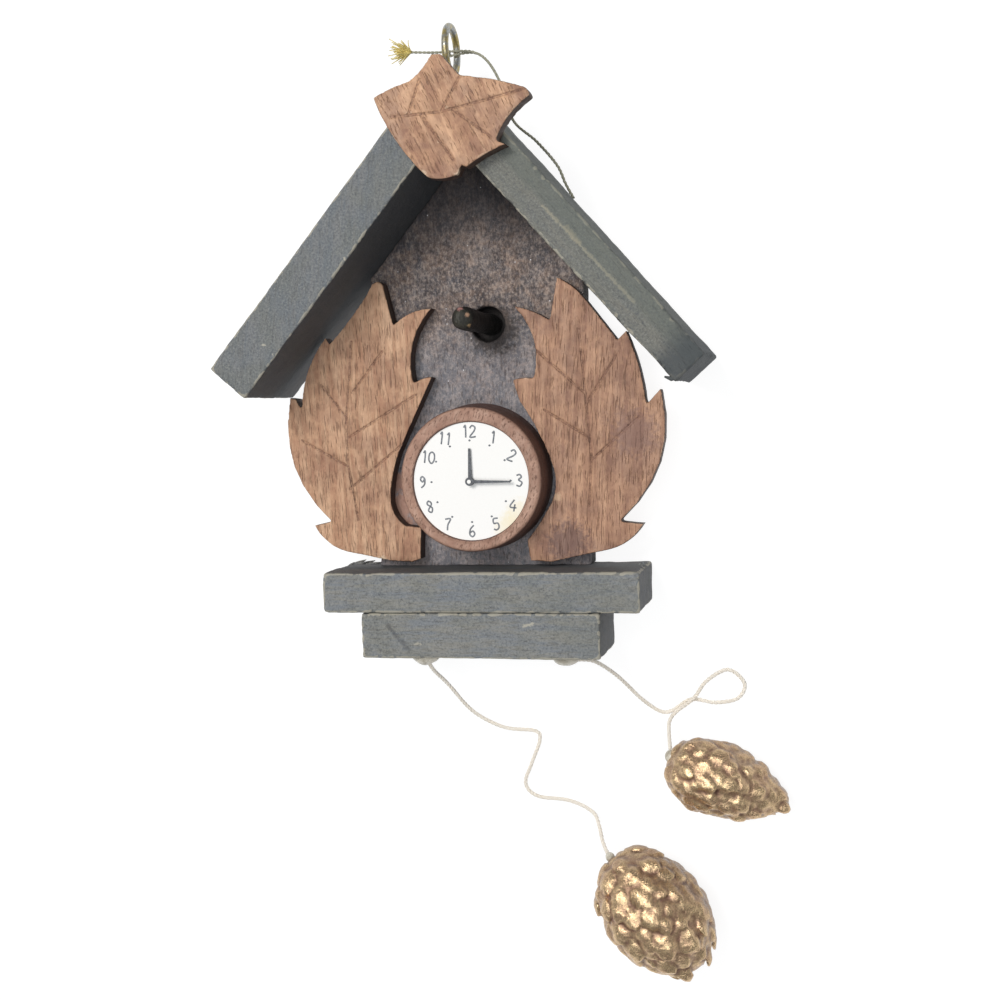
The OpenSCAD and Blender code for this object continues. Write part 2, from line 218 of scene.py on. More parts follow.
def evaluated_mesh(obj):
    """The mesh that an object's curve or modifiers make."""
    return bpy.data.meshes.new_from_object(obj.evaluated_get(bpy.context.evaluated_depsgraph_get()))


def strands(lines, radius, roundness=1):
    """A mesh of round strands. Each line is a list of (point in millimetres, share of the radius)."""
    curve = bpy.data.curves.new("strands", "CURVE")
    curve.dimensions = "3D"
    curve.bevel_depth = radius * mm
    curve.bevel_resolution = roundness
    curve.use_fill_caps = True
    for line in lines:
        spline = curve.splines.new("POLY")
        spline.points.add(len(line) - 1)
        for point, (place, share) in zip(spline.points, line):
            point.co = (*(Vector(place) * mm), 1)
            point.radius = share
    holder = new_object("strands", curve)
    mesh = evaluated_mesh(holder)
    bpy.data.objects.remove(holder)
    bpy.data.curves.remove(curve)
    return closed_and_outward(mesh)


points_to_a_turn = 12


def helix_lines(route, plies, offset, lead):
    """One line for each ply, wound round the route at offset from its middle."""
    steps = max(2, round(route_length(route) / lead * points_to_a_turn))
    even = even_points(route, steps)
    side = Vector((0.05, 0.1, 1))
    lines = [[] for _ in range(plies)]
    for i, place in enumerate(even):
        way = (even[min(i + 1, steps)] - even[max(i - 1, 0)]).normalized()
        side = (side - side.dot(way) * way).normalized()
        across = way.cross(side)
        for ply, line in enumerate(lines):
            angle = 2 * math.pi * (i / points_to_a_turn + ply / plies)
            line.append((place + offset * (math.cos(angle) * side + math.sin(angle) * across), 1))
    return lines


def even_points(route, steps):
    """The route again with evenly spaced points."""
    lengths = [0.0]
    for a, b in zip(route, route[1:]):
        lengths.append(lengths[-1] + (b - a).length)
    made, j = [], 0
    for i in range(steps + 1):
        want = lengths[-1] * i / steps
        while j < len(route) - 2 and lengths[j + 1] < want:
            j += 1
        share = (want - lengths[j]) / max(lengths[j + 1] - lengths[j], 1e-9)
        made.append(route[j].lerp(route[j + 1], min(share, 1)))
    return made


def twisted_cord(name, route, diameter, plies, lead):
    """A cord of real plies, each a strand wound round the route."""
    ply = diameter * (0.29 if plies == 2 else 0.27)
    mesh = strands(helix_lines(route, plies, diameter / 2 - ply, lead), ply)
    mesh.name = name
    return new_object(name, mesh)


string_d = 0.75
thread_d = 0.5
left_string = twisted_cord("left_string", left_cord_route, string_d, plies=3, lead=2.4)
right_string = twisted_cord("right_string", right_cord_route, string_d, plies=3, lead=2.4)
loop_thread = twisted_cord("loop_thread", thread_route, thread_d, plies=2, lead=1.5)
print("faces in the left string:", len(left_string.data.polygons))

# %% [markdown]
# ## Shader helpers
#
# A material is a small tree of nodes. Adding nodes and wires by hand takes many lines, so `put`
# adds a node and fills its sockets in one call: a plain value is set, and another node's output
# is wired in. Colours are written as a paint shop would give them, from 0 to 255, and `tint` turns
# them into the linear values that shaders need.

# %% Shader helpers
def tint(red, green, blue):
    """A linear colour from screen values of 0 to 255."""
    shares = [x / 255 for x in (red, green, blue)]
    return (*[x / 12.92 if x <= 0.04045 else ((x + 0.055) / 1.055) ** 2.4 for x in shares], 1.0)


def put(tree, kind, settings=None, **sockets):
    """Add a shader node. A socket is named by its label, with _ for spaces, or by i and its number."""
    made = tree.nodes.new("ShaderNode" + kind)
    for name, value in (settings or {}).items():
        setattr(made, name, value)
    fill(tree, made, sockets)
    return made


def fill(tree, made, sockets):
    """Set or wire the named sockets of a node."""
    for name, value in sockets.items():
        numbered = name[0] == "i" and name[1:].isdigit()
        socket = made.inputs[int(name[1:]) if numbered else name.replace("_", " ")]
        if isinstance(value, bpy.types.NodeSocket):
            tree.links.new(value, socket)
        else:
            socket.default_value = value


def maths(tree, work, a, b=0.0):
    """One step of arithmetic on two numbers."""
    return put(tree, "Math", {"operation": work}, i0=a, i1=b).outputs[0]


def fit(tree, value, low, high, to_low=0.0, to_high=1.0):
    """Spread the values between low and high smoothly over to_low to to_high."""
    made = put(tree, "MapRange", {"interpolation_type": "SMOOTHSTEP"}, Value=value,
               From_Min=low, From_Max=high, To_Min=to_low, To_Max=to_high)
    return made.outputs[0]


def mixed(tree, share, a, b, most=1.0):
    """Two colours mixed by share times most, from 0 for a to 1 for b."""
    if most != 1.0:
        share = maths(tree, "MULTIPLY", share, most)
    return put(tree, "Mix", {"data_type": "RGBA"}, i0=share, i6=a, i7=b).outputs[2]


def noisy(tree, where, scale, detail=4.0, roughness=0.6, distortion=0.0):
    """A cloudy pattern of that many waves to a millimetre, from 0 to 1 about 0.5."""
    made = put(tree, "TexNoise", None, Vector=where, Scale=scale, Detail=detail,
               Roughness=roughness, Distortion=distortion)
    return made.outputs[0]


def new_group(name, outputs, **inputs):
    """A shader node group. Each output is a number. So is each input, unless it is None, for a vector."""
    tree = bpy.data.node_groups.new(name, "ShaderNodeTree")
    for label, value in inputs.items():
        kind = "NodeSocketVector" if value is None else "NodeSocketFloat"
        socket = tree.interface.new_socket(label, in_out="INPUT", socket_type=kind)
        if value is not None:
            socket.default_value = value
    for label in outputs:
        tree.interface.new_socket(label, in_out="OUTPUT", socket_type="NodeSocketFloat")
    return tree, tree.nodes.new("NodeGroupInput").outputs, tree.nodes.new("NodeGroupOutput").inputs


def give(tree, value, socket):
    """Wire a value to one of a group's outputs."""
    tree.links.new(value, socket)


def use(tree, group, **sockets):
    """Place a node group in a material, and return its outputs."""
    made = tree.nodes.new("ShaderNodeGroup")
    made.node_tree = group
    fill(tree, made, sockets)
    return made.outputs


def surface(name, roughness=0.8, metallic=0.0):
    """A new material, its tree and its Principled shader."""
    material = bpy.data.materials.new(name)
    material.use_nodes = True
    shader = material.node_tree.nodes["Principled BSDF"]
    shader.inputs["Roughness"].default_value = roughness
    shader.inputs["Metallic"].default_value = metallic
    return material, material.node_tree, shader


def in_mm(tree, turn=0.0):
    """Object coordinates in millimetres, turned about Z so that the grain runs along Y."""
    where = put(tree, "TexCoord").outputs["Object"]
    made = put(tree, "Mapping", None, Vector=where, Rotation=(0, 0, turn), Scale=(1000, 1000, 1000))
    return made.outputs[0]


def mark(tree, name):
    """A number that the mesh carries at each point."""
    return put(tree, "Attribute", {"attribute_name": name}).outputs["Fac"]


def bump(tree, shader, height, depth):
    """Raise and sink the surface's shading by height, where depth is in millimetres."""
    made = put(tree, "Bump", None, Strength=1.0, Distance=depth * mm, Height=height)
    tree.links.new(made.outputs[0], shader.inputs["Normal"])


print("tint of mid grey:", round(tint(128, 128, 128)[0], 3))

# %% [markdown]
# ## Shared effects
#
# Grain, wear, blotches, glitter, spots and scratches appear in several finishes, so each is a node
# group that is built once. The grain squeezes the pattern across the board and stretches it along
# Y. The wear reads the number `edge` that the mesh carries, which is 1 on an arris and 0 on a flat
# face.

# %% Grain
def grain_effect():
    """Streaks along Y, pores in them, and a height for bumps."""
    tree, given, result = new_group("grain", ["Streak", "Pores", "Height"], Vector=None, Width=1.0,
                                    Stretch=14.0)
    axes = put(tree, "SeparateXYZ", None, Vector=given["Vector"]).outputs
    along = maths(tree, "DIVIDE", axes[1], given["Stretch"])
    squeezed = put(tree, "CombineXYZ", None, X=axes[0], Y=along, Z=axes[2]).outputs[0]
    waves = maths(tree, "DIVIDE", 1.0, given["Width"])
    broad = noisy(tree, squeezed, maths(tree, "MULTIPLY", waves, 0.45), 4.0, 0.55, 0.6)
    fine = noisy(tree, squeezed, maths(tree, "MULTIPLY", waves, 2.4), 3.0, 0.6)
    streak = maths(tree, "ADD", maths(tree, "MULTIPLY", broad, 0.6), maths(tree, "MULTIPLY", fine, 0.4))
    pores = fit(tree, fine, 0.54, 0.68)
    give(tree, fit(tree, streak, 0.38, 0.62), result["Streak"])
    give(tree, pores, result["Pores"])
    give(tree, maths(tree, "SUBTRACT", streak, maths(tree, "MULTIPLY", pores, 0.6)), result["Height"])
    return tree


grain_group = grain_effect()
print("group:", grain_group.name)


# %% Wear and blotches
def wear_effect():
    """A mask that is patchy along the arrises, and covers more of them as Amount rises."""
    tree, given, result = new_group("wear", ["Mask"], Vector=None, Edge=0.0, Size=2.0, Amount=0.4)
    patchy = noisy(tree, given["Vector"], maths(tree, "DIVIDE", 1.0, given["Size"]), 5.0, 0.65)
    rough = maths(tree, "MULTIPLY", maths(tree, "SUBTRACT", patchy, 0.5), 2.2)
    rubbed = maths(tree, "ADD", given["Edge"], rough)
    over = maths(tree, "SUBTRACT", rubbed, maths(tree, "SUBTRACT", 1.15, given["Amount"]))
    give(tree, fit(tree, over, 0.0, 0.3), result["Mask"])
    return tree


def blotch_effect():
    """Soft clouds of a given size."""
    tree, given, result = new_group("blotch", ["Mask"], Vector=None, Size=8.0)
    cloud = noisy(tree, given["Vector"], maths(tree, "DIVIDE", 1.0, given["Size"]), 5.0, 0.6, 0.4)
    give(tree, fit(tree, cloud, 0.4, 0.62), result["Mask"])
    return tree


wear_group = wear_effect()
blotch_group = blotch_effect()
print("groups:", wear_group.name, blotch_group.name)


# %% Glitter, spots and scratches
def speck_effect():
    """Small dots, where only a share of the cells carries one."""
    tree, given, result = new_group("specks", ["Mask"], Vector=None, Spacing=1.5, Size=0.1, Share=0.3)
    cell = put(tree, "TexVoronoi", None, Vector=given["Vector"],
               Scale=maths(tree, "DIVIDE", 1.0, given["Spacing"])).outputs
    near = maths(tree, "LESS_THAN", cell["Distance"], given["Size"])
    chance = put(tree, "SeparateColor", None, Color=cell["Color"]).outputs[0]
    kept = maths(tree, "LESS_THAN", chance, given["Share"])
    give(tree, maths(tree, "MULTIPLY", near, kept), result["Mask"])
    return tree


def on_vectors(tree, work, a, b, out="Vector"):
    """One step of arithmetic on two vectors."""
    return put(tree, "VectorMath", {"operation": work}, i0=a, i1=b).outputs[out]


def ragged_reach(tree, given, away, size, waves):
    """A distance as a share of a size, roughened by noise so that its edge is ragged."""
    rough = maths(tree, "SUBTRACT", noisy(tree, given["Vector"], waves, 5.0, 0.7), 0.5)
    return maths(tree, "ADD", maths(tree, "DIVIDE", away, size),
                 maths(tree, "MULTIPLY", rough, given["Ragged"]))


def spot_effect():
    """A round spot with a ragged edge."""
    tree, given, result = new_group("spot", ["Mask"], Vector=None, Centre=None, Radius=1.0, Ragged=0.5)
    away = on_vectors(tree, "DISTANCE", given["Vector"], given["Centre"], "Value")
    reach = ragged_reach(tree, given, away, given["Radius"], 1.1)
    give(tree, fit(tree, reach, 1.2, 0.5), result["Mask"])
    return tree


def scratch_effect():
    """A ragged line from Start to End, by the distance to the nearest point of that line."""
    tree, given, result = new_group("scratch", ["Mask"], Vector=None, Start=None, End=None, Width=0.4,
                                    Ragged=2.4)
    whole = on_vectors(tree, "SUBTRACT", given["End"], given["Start"])
    here = on_vectors(tree, "SUBTRACT", given["Vector"], given["Start"])
    gone = on_vectors(tree, "DOT_PRODUCT", here, whole, "Value")
    size = on_vectors(tree, "DOT_PRODUCT", whole, whole, "Value")
    share = put(tree, "Math", {"operation": "DIVIDE", "use_clamp": True}, i0=gone, i1=size).outputs[0]
    foot = put(tree, "VectorMath", {"operation": "SCALE"}, i0=whole, Scale=share).outputs[0]
    away = on_vectors(tree, "DISTANCE", here, foot, "Value")
    reach = ragged_reach(tree, given, away, given["Width"], 2.2)
    give(tree, fit(tree, reach, 0.75, 0.15), result["Mask"])
    return tree


speck_group = speck_effect()
spot_group = spot_effect()
scratch_group = scratch_effect()
print("groups:", [g.name for g in bpy.data.node_groups])

# %% [markdown]
# ## Finishes
#
# A finish is built up like paint. It starts with two colours that the grain mixes, and then each
# line lays one more colour over the last, by a share, where a mask says. `laid` does that with the
# mask of a shared effect, and `mixed` with any other number.
#
# The boards carry a matt slate paint that has rubbed through to pale wood along the arrises. The
# base colour wanders between a cool and a warm grey with the brush strokes, and the last step lays
# the rubbed wood over it.

# %% Slate paint of the roof and base boards
def laid(tree, colour, finish, share, group, where, **sockets):
    """A colour with a finish laid over it by a share, where an effect's mask says."""
    return mixed(tree, use(tree, group, Vector=where, **sockets)["Mask"], colour, finish, share)


def slate_paint(name, turn, cool, warm, rub, marks=()):
    """Matt slate paint, brushed along turn, with marks of (start, end, width, colour, share)."""
    material, tree, shader = surface(name)
    flat = in_mm(tree)
    grain = use(tree, grain_group, Vector=in_mm(tree, turn), Width=0.7, Stretch=8.0)
    speckle = noisy(tree, flat, 2.6, 4.0, 0.75)
    colour = mixed(tree, grain["Streak"], cool, warm)
    colour = laid(tree, colour, tint(112, 114, 106), 0.4, blotch_group, flat, Size=7.0)
    colour = mixed(tree, fit(tree, speckle, 0.5, 0.64), colour, tint(152, 153, 150), 0.45)
    colour = mixed(tree, fit(tree, speckle, 0.49, 0.36), colour, tint(72, 78, 86), 0.6)
    colour = mixed(tree, grain["Pores"], colour, tint(84, 87, 90), 0.3)
    # Painted shade: faces that do not face up are painted darker with this grey.
    colour = mixed(tree, mark(tree, "side"), colour, tint(58, 60, 66), 0.6)
    arris = fit(tree, mark(tree, "edge"), 0.35, 0.8)
    colour = laid(tree, colour, tint(182, 176, 158), 0.62, wear_group, flat, Edge=arris, Size=2.4,
                  Amount=rub)
    for start, end, width, finish, share in marks:
        colour = laid(tree, colour, finish, share, scratch_group, flat, Start=start, End=end,
                      Width=width)
    fill(tree, shader, {"Base_Color": colour, "Roughness": fit(tree, speckle, 0.3, 0.7, 0.66, 0.9)})
    bump(tree, shader, maths(tree, "ADD", grain["Height"], speckle), 0.08)
    return material


rubbed_wood = tint(196, 190, 172)
grime = tint(56, 58, 64)
roof_turn = math.radians(40.5)
ridge_x = -0.6
ridge_y = 72.1
slate_left = slate_paint(
    "slate_left_roof", math.radians(8), tint(106, 112, 117), tint(120, 122, 123), 0.34,
    [((-34.7, 25.4, 23.5), (-34.1, 25.3, 23.5), 0.35, rubbed_wood, 0.7),
     ((-18.9, 39.9, 23.5), (-18.7, 39.3, 23.5), 0.35, rubbed_wood, 0.7),
     ((-32.9, 23.6, 23.5), (-32.6, 23.1, 23.5), 0.35, rubbed_wood, 0.6)])
slate_base = slate_paint(
    "slate_base_boards", math.radians(90), tint(122, 127, 132), tint(138, 137, 131), 0.5,
    [((-10.5, -29, 17), (-9.5, -28.8, 17), 0.4, rubbed_wood, 0.5),
     ((9.6, -25.6, 17), (11.2, -25.2, 17), 0.5, rubbed_wood, 0.6),
     ((-15.6, -25.5, 17), (-11.7, -30, 17), 0.8, grime, 0.4)])
print("paints:", slate_left.name, slate_base.name)

# %% [markdown]
# The right roof board is the most worn. One long scratch runs along its front, parallel to the
# board, its outer half is painted darker and greener as painted shade, and its lower end is dark.
# How far a point lies across the board, and how far along it, are the X and Y of the turned
# coordinates.

# %% Slate paint of the right roof board
def right_roof_paint():
    """Slate paint, darker and greener outside the long scratch as painted shade, with a dark lower end."""
    material = slate_paint(
        "slate_right_roof", -roof_turn, tint(110, 112, 108), tint(122, 121, 113), 0.34,
        [((16.6, 46.5, 23.5), (31.5, 29.8, 23.5), 0.55, tint(168, 162, 142), 0.6),
         ((34.3, 31.9, 23.5), (35.8, 30.2, 23.5), 0.8, rubbed_wood, 0.7),
         ((20.6, 42.6, 23.5), (22.4, 40.2, 23.5), 0.9, tint(160, 152, 130), 0.5)])
    tree = material.node_tree
    shader = tree.nodes["Principled BSDF"]
    painted = shader.inputs["Base Color"].links[0].from_socket
    turned = put(tree, "SeparateXYZ", None, Vector=in_mm(tree, -roof_turn)).outputs
    wander = maths(tree, "MULTIPLY", noisy(tree, in_mm(tree), 0.5), 4.0)
    outer_x = ridge_y * math.sin(roof_turn) + ridge_x * math.cos(roof_turn)
    # Painted shade: the outer band of the board is painted darker and greener.
    outer = fit(tree, maths(tree, "SUBTRACT", outer_x, turned[0]), 4.2, 2.4)
    colour = mixed(tree, outer, painted, tint(92, 100, 94), 0.45)
    dark_end = fit(tree, maths(tree, "ADD", turned[1], wander), -2.0, -7.5)
    colour = mixed(tree, dark_end, colour, tint(62, 68, 73), 0.75)
    fill(tree, shader, {"Base_Color": colour})
    return material


slate_right = right_roof_paint()
print("paint:", slate_right.name)

# %% [markdown]
# The panel is stained charcoal, thin enough for brown grain to show, and fine glitter is caught in
# it. Beside the dial the stain missed a crescent of reddish wood. The drilled door is near black,
# and a painted shadow of the peg darkens the wood round it.

# %% Charcoal stain of the panel
def panel_stain():
    """Thin charcoal stain over brown wood, with glitter."""
    material, tree, shader = surface("charcoal_stain")
    flat = in_mm(tree)
    grain = use(tree, grain_group, Vector=flat, Width=0.8, Stretch=5.0)
    axes = put(tree, "SeparateXYZ", None, Vector=flat).outputs
    upright = put(tree, "Mapping", None, Vector=flat, Scale=(1.0, 0.7, 1.0)).outputs[0]
    speckle = noisy(tree, upright, 2.1, 4.0, 0.75)
    colour = mixed(tree, grain["Streak"], tint(92, 86, 86), tint(158, 144, 136))
    colour = laid(tree, colour, tint(156, 130, 112), 0.6, blotch_group, flat, Size=5.0)
    colour = laid(tree, colour, tint(90, 92, 100), 0.5, blotch_group, flat, Size=0.9)
    colour = laid(tree, colour, tint(60, 55, 58), 0.5, blotch_group, flat, Size=2.6)
    colour = mixed(tree, fit(tree, speckle, 0.5, 0.62), colour, tint(196, 180, 168), 0.4)
    colour = mixed(tree, fit(tree, speckle, 0.49, 0.38), colour, tint(44, 40, 42), 0.55)
    near_the_dial = fit(tree, axes[1], 34.0, 18.0)
    colour = mixed(tree, near_the_dial, colour, tint(146, 150, 160), 0.35)
    # Painted shade: the top of the panel under the ridge is painted near black.
    painted_ridge_shade = fit(tree, axes[1], 36.0, 52.0)
    colour = mixed(tree, painted_ridge_shade, colour, tint(44, 42, 46), 0.75)
    # Painted shadow of the peg: a dark ragged spot round the door, reaching down to the right.
    colour = laid(tree, colour, tint(40, 34, 32), 0.8, spot_group, flat, Centre=(3.2, 26.9, 6),
                  Radius=5.0, Ragged=1.8)
    colour = mixed(tree, grain["Pores"], colour, tint(66, 56, 54), 0.55)
    for middle, radius in (((-15.4, -4.8, 6), 2.6), ((-15.8, -0.4, 6), 2.0), ((-14.6, -8.6, 6), 2.0)):
        colour = laid(tree, colour, tint(168, 126, 106), 0.8, spot_group, flat, Centre=middle,
                      Radius=radius, Ragged=1.6)
    in_the_door = fit(tree, axes[2], 5.6, 4.4)
    colour = mixed(tree, in_the_door, colour, tint(22, 19, 18), 0.95)
    glitter = use(tree, speck_group, Vector=flat, Spacing=1.5, Size=0.07, Share=0.3)["Mask"]
    colour = mixed(tree, glitter, colour, tint(226, 226, 230), 0.8)
    fill(tree, shader, {"Base_Color": colour, "Roughness": fit(tree, glitter, 0.0, 1.0, 0.82, 0.3)})
    bump(tree, shader, maths(tree, "ADD", grain["Height"], speckle), 0.12)
    return material


charcoal = panel_stain()
print("stain:", charcoal.name)

# %% [markdown]
# The leaves are sawn from reddish wood with an open, nearly upright grain. Their veins are thin
# burnt cuts, which run between the same points as in the imported model, so the burnt colour is a
# scratch along each. The mesh carries `side`, which is 1 on the sawn edge, and that edge is painted
# darker, partly as darker cut wood and partly as painted shade.

# %% Reddish wood of the leaves and the dial ring
def red_wood(name, turn, pale, mid, dark, width=0.5, stretch=16.0, pore=tint(104, 70, 54),
             edge_finish=tint(212, 182, 154), side_colour_and_shade=tint(50, 34, 31), spots=(), veins=()):
    """Reddish wood with darker pores, thin burnt veins, darker sides that are partly painted shade, and
    spots of (centre, radius, colour).
    """
    material, tree, shader = surface(name, 0.62)
    where = in_mm(tree, turn)
    flat = in_mm(tree)
    grain = use(tree, grain_group, Vector=where, Width=width, Stretch=stretch)
    colour = mixed(tree, grain["Streak"], mid, pale)
    colour = laid(tree, colour, dark, 0.45, blotch_group, flat, Size=8.0)
    colour = laid(tree, colour, pale, 0.3, blotch_group, where, Size=1.6)
    colour = laid(tree, colour, pore, 0.28, blotch_group, where, Size=3.4)
    colour = mixed(tree, grain["Pores"], colour, pore, 0.7)
    colour = laid(tree, colour, edge_finish, 0.5, wear_group, flat, Edge=mark(tree, "edge"), Size=3.0,
                  Amount=0.3)
    # The sides are painted darker: the darker cut wood and painted shade together.
    colour = mixed(tree, mark(tree, "side"), colour, side_colour_and_shade, 0.9)
    for start, end in veins:
        colour = laid(tree, colour, tint(90, 62, 52), 0.75, scratch_group, flat, Start=start, End=end,
                      Width=0.4, Ragged=1.3)
    for centre, radius, finish in spots:
        colour = laid(tree, colour, finish, 0.75, spot_group, flat, Centre=centre, Radius=radius,
                      Ragged=2.6)
    fill(tree, shader, {"Base_Color": colour,
                        "Roughness": fit(tree, grain["Streak"], 0.0, 1.0, 0.74, 0.55)})
    bump(tree, shader, grain["Height"], 0.14)
    return material


def vein_ends(level, shift_x, shift_y, flat_ends):
    """Pairs of vein ends at a height, from (x, y, x, y) in the leaf's own drawing."""
    return [((a + shift_x, b + shift_y, level), (c + shift_x, d + shift_y, level))
            for a, b, c, d in flat_ends]


left_veins = vein_ends(9.2, -0.4, 0, [
    (-22.7, 26, -24.3, 11), (-24.3, 11, -24.2, 3), (-24.2, 3, -22.6, -7),
    (-16.8, 24, -22.9, 16.6), (-10.7, 15.8, -24, 8.3), (-13.6, 6.8, -24, -1.2),
    (-28.9, 18.2, -24.2, 12), (-33.1, 8, -24.3, 3)])
right_veins = vein_ends(9.2, -0.2, 0, [
    (19.7, 26.5, 20.5, 16), (20.5, 16, 21.4, 4), (21.4, 4, 20.8, -5),
    (11.7, 23.2, 20.4, 15.2), (26.3, 21.6, 20.7, 13.2), (13, 12.4, 21, 7.2),
    (30.4, 10.9, 21.3, 3.1)])
ridge_veins = vein_ends(26.7, -0.3, 0.2, [
    (15, 65.2, 8.8, 64), (8.8, 64, 0.3, 62.5), (0.3, 62.5, -8.2, 62.3),
    (3.9, 68, 0.6, 62.6), (-3, 68.2, -5.2, 62.4), (-3, 62.4, 2.5, 54.3),
    (2.5, 62.8, 9, 57.8)])
pale_raw = tint(226, 204, 176)
leaf_left_wood = red_wood(
    "leaf_wood_left", math.radians(-2), tint(212, 172, 138), tint(174, 130, 102), tint(152, 110, 90),
    spots=[((-18.9, -15.4, 8.5), 1.8, pale_raw), ((-21.2, -14.8, 8), 1.4, pale_raw)],
    veins=left_veins)
leaf_right_wood = red_wood(
    "leaf_wood_right", math.radians(3), tint(202, 158, 126), tint(160, 120, 98), tint(118, 89, 80),
    spots=[((14.8, -3.4, 9.2), 0.9, tint(206, 172, 140)), ((29, 8, 9.2), 4.5, tint(138, 106, 94)),
           ((16.5, -11.5, 9.2), 4.2, tint(110, 84, 78))],
    veins=right_veins)
leaf_ridge_wood = red_wood(
    "leaf_wood_ridge", math.radians(-24), tint(212, 168, 132), tint(164, 122, 98),
    tint(138, 108, 96), 0.8, 8.0,
    spots=[((3.3, 52.1, 26.5), 1.0, pale_raw), ((-3.5, 52.5, 26.5), 0.8, pale_raw)],
    veins=ridge_veins)
# The ring's darker side colour is painted shade.
ring_wood = red_wood(
    "ring_wood", math.radians(20), tint(190, 154, 134), tint(168, 130, 112), tint(152, 116, 100),
    0.6, 4.0, side_colour_and_shade=tint(94, 66, 58))
print("woods:", leaf_left_wood.name, leaf_right_wood.name, leaf_ridge_wood.name, ring_wood.name)

# %% [markdown]
# The small finishes: white card with a yellow stain, ink, metal wire, gilding, string, thread and
# dried glue. The gilding is thin, so brown shows in the hollows, and its metal is patchy. On the
# cones' sides the gold is painted brown and less metallic, as painted shade.

# %% Card and ink
def white_card():
    """Matt white card, yellowed at one side."""
    material, tree, shader = surface("white_card", 0.85)
    flat = in_mm(tree)
    fibre = noisy(tree, flat, 5.0)
    colour = mixed(tree, fibre, tint(252, 252, 250), tint(246, 245, 242))
    for centre, radius in (((9.2, -6.6, 13.7), 3.6), ((7.0, -8.6, 13.7), 3.0)):
        colour = laid(tree, colour, tint(244, 232, 196), 0.5, spot_group, flat, Centre=centre,
                      Radius=radius, Ragged=1.2)
    fill(tree, shader, {"Base_Color": colour})
    bump(tree, shader, fibre, 0.01)
    return material


def ink(name, colour):
    """Dull dark ink or enamel with a slightly uneven tone."""
    material, tree, shader = surface(name, 0.6)
    uneven = noisy(tree, in_mm(tree), 2.5, 3.0)
    lighter = tuple(min(1.0, x * 1.7 + 0.02) for x in colour[:3]) + (1.0,)
    fill(tree, shader, {"Base_Color": mixed(tree, fit(tree, uneven, 0.35, 0.7), colour, lighter)})
    bump(tree, shader, uneven, 0.01)
    return material


card = white_card()
number_ink = ink("number_ink", tint(106, 110, 116))
hand_enamel = ink("hand_enamel", tint(74, 77, 82))
print("card and inks:", card.name, number_ink.name, hand_enamel.name)


# %% Metal, gilding, string and glue
def wire_metal():
    """Plated wire with the brass showing through on the inside."""
    material, tree, shader = surface("wire_metal", 0.36, 0.7)
    flat = in_mm(tree)
    dull = noisy(tree, flat, 2.4, 5.0)
    colour = laid(tree, tint(160, 164, 166), tint(176, 160, 104), 1.0, blotch_group, flat, Size=2.2)
    colour = mixed(tree, fit(tree, dull, 0.5, 0.75), colour, tint(104, 100, 84), 0.7)
    fill(tree, shader, {"Base_Color": colour, "Roughness": fit(tree, dull, 0.3, 0.7, 0.28, 0.55)})
    bump(tree, shader, dull, 0.03)
    return material


def gilding():
    """Antique gold rubbed over brown, bright on the lumps and brown in the hollows, with painted shade on
    the sides.
    """
    material, tree, shader = surface("antique_gold")
    flat = in_mm(tree)
    grit = noisy(tree, flat, 2.6, 5.0, 0.7)
    high = fit(tree, mark(tree, "high"), 0.15, 0.75)
    leaf = maths(tree, "MULTIPLY", high, fit(tree, grit, 0.34, 0.52, 0.7, 1.0))
    colour = mixed(tree, leaf, tint(112, 82, 68), tint(248, 216, 170))
    colour = laid(tree, colour, tint(188, 148, 124), 0.4, blotch_group, flat, Size=2.2)
    # Painted shade: where the cone faces sideways or down, the gold is painted brown and made less metallic.
    low = mark(tree, "side")
    colour = mixed(tree, low, colour, tint(112, 86, 72), 0.7)
    metal = maths(tree, "MULTIPLY", fit(tree, leaf, 0.0, 1.0, 0.5, 0.95),
                  fit(tree, low, 0.0, 1.0, 1.0, 0.4))
    fill(tree, shader, {"Base_Color": colour, "Metallic": metal,
                        "Roughness": fit(tree, grit, 0.3, 0.7, 0.2, 0.38)})
    bump(tree, shader, grit, 0.12)
    return material


def yarn(name, pale, deep, metallic, roughness):
    """Spun thread with fine fibres that wander along it."""
    material, tree, shader = surface(name, roughness, metallic)
    flat = in_mm(tree)
    fibre = noisy(tree, flat, 7.0, 5.0, 0.7)
    colour = mixed(tree, fit(tree, fibre, 0.35, 0.65), deep, pale)
    colour = laid(tree, colour, deep, 0.3, blotch_group, flat, Size=4.0)
    fill(tree, shader, {"Base_Color": colour})
    bump(tree, shader, fibre, 0.05)
    return material


def dried_glue():
    """Cloudy dried glue with a soft gloss."""
    material, tree, shader = surface("dried_glue", 0.3)
    cloud = use(tree, blotch_group, Vector=in_mm(tree), Size=1.5)["Mask"]
    colour = mixed(tree, cloud, tint(226, 220, 204), tint(190, 182, 164))
    shader.inputs["Transmission Weight"].default_value = 0.15
    shader.inputs["IOR"].default_value = 1.48
    fill(tree, shader, {"Base_Color": colour, "Roughness": fit(tree, cloud, 0.0, 1.0, 0.22, 0.45)})
    bump(tree, shader, cloud, 0.08)
    return material


wire = wire_metal()
gold = gilding()
string = yarn("cotton_string", tint(252, 248, 240), tint(232, 222, 206), 0.0, 0.9)
metal_thread = yarn("metal_thread", tint(190, 188, 170), tint(136, 136, 116), 0.15, 0.6)
gold_fray = yarn("gold_fray", tint(240, 226, 150), tint(206, 184, 104), 0.15, 0.5)
glue = dried_glue()
print("small finishes:", [m.name for m in (wire, gold, string, metal_thread, gold_fray, glue)])

# %% [markdown]
# ## Wooden parts with worn arrises
#
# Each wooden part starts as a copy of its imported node, so its size and place are right. The Remesh
# modifier lays an even grid of small squares over it, which sharp arrises could not be rounded on
# otherwise. Then three things happen to the grid's points: they are smoothed, so that arrises turn
# round, they are pushed in and out by slow noise, as a hand-sawn board is never flat, and they are
# pushed in hard where a second noise meets an arris, which chips it.
#
# How sharply the surface bends at a point is how far the point stands above the middle of its
# neighbours. That number is kept on the mesh for the finishes to read.

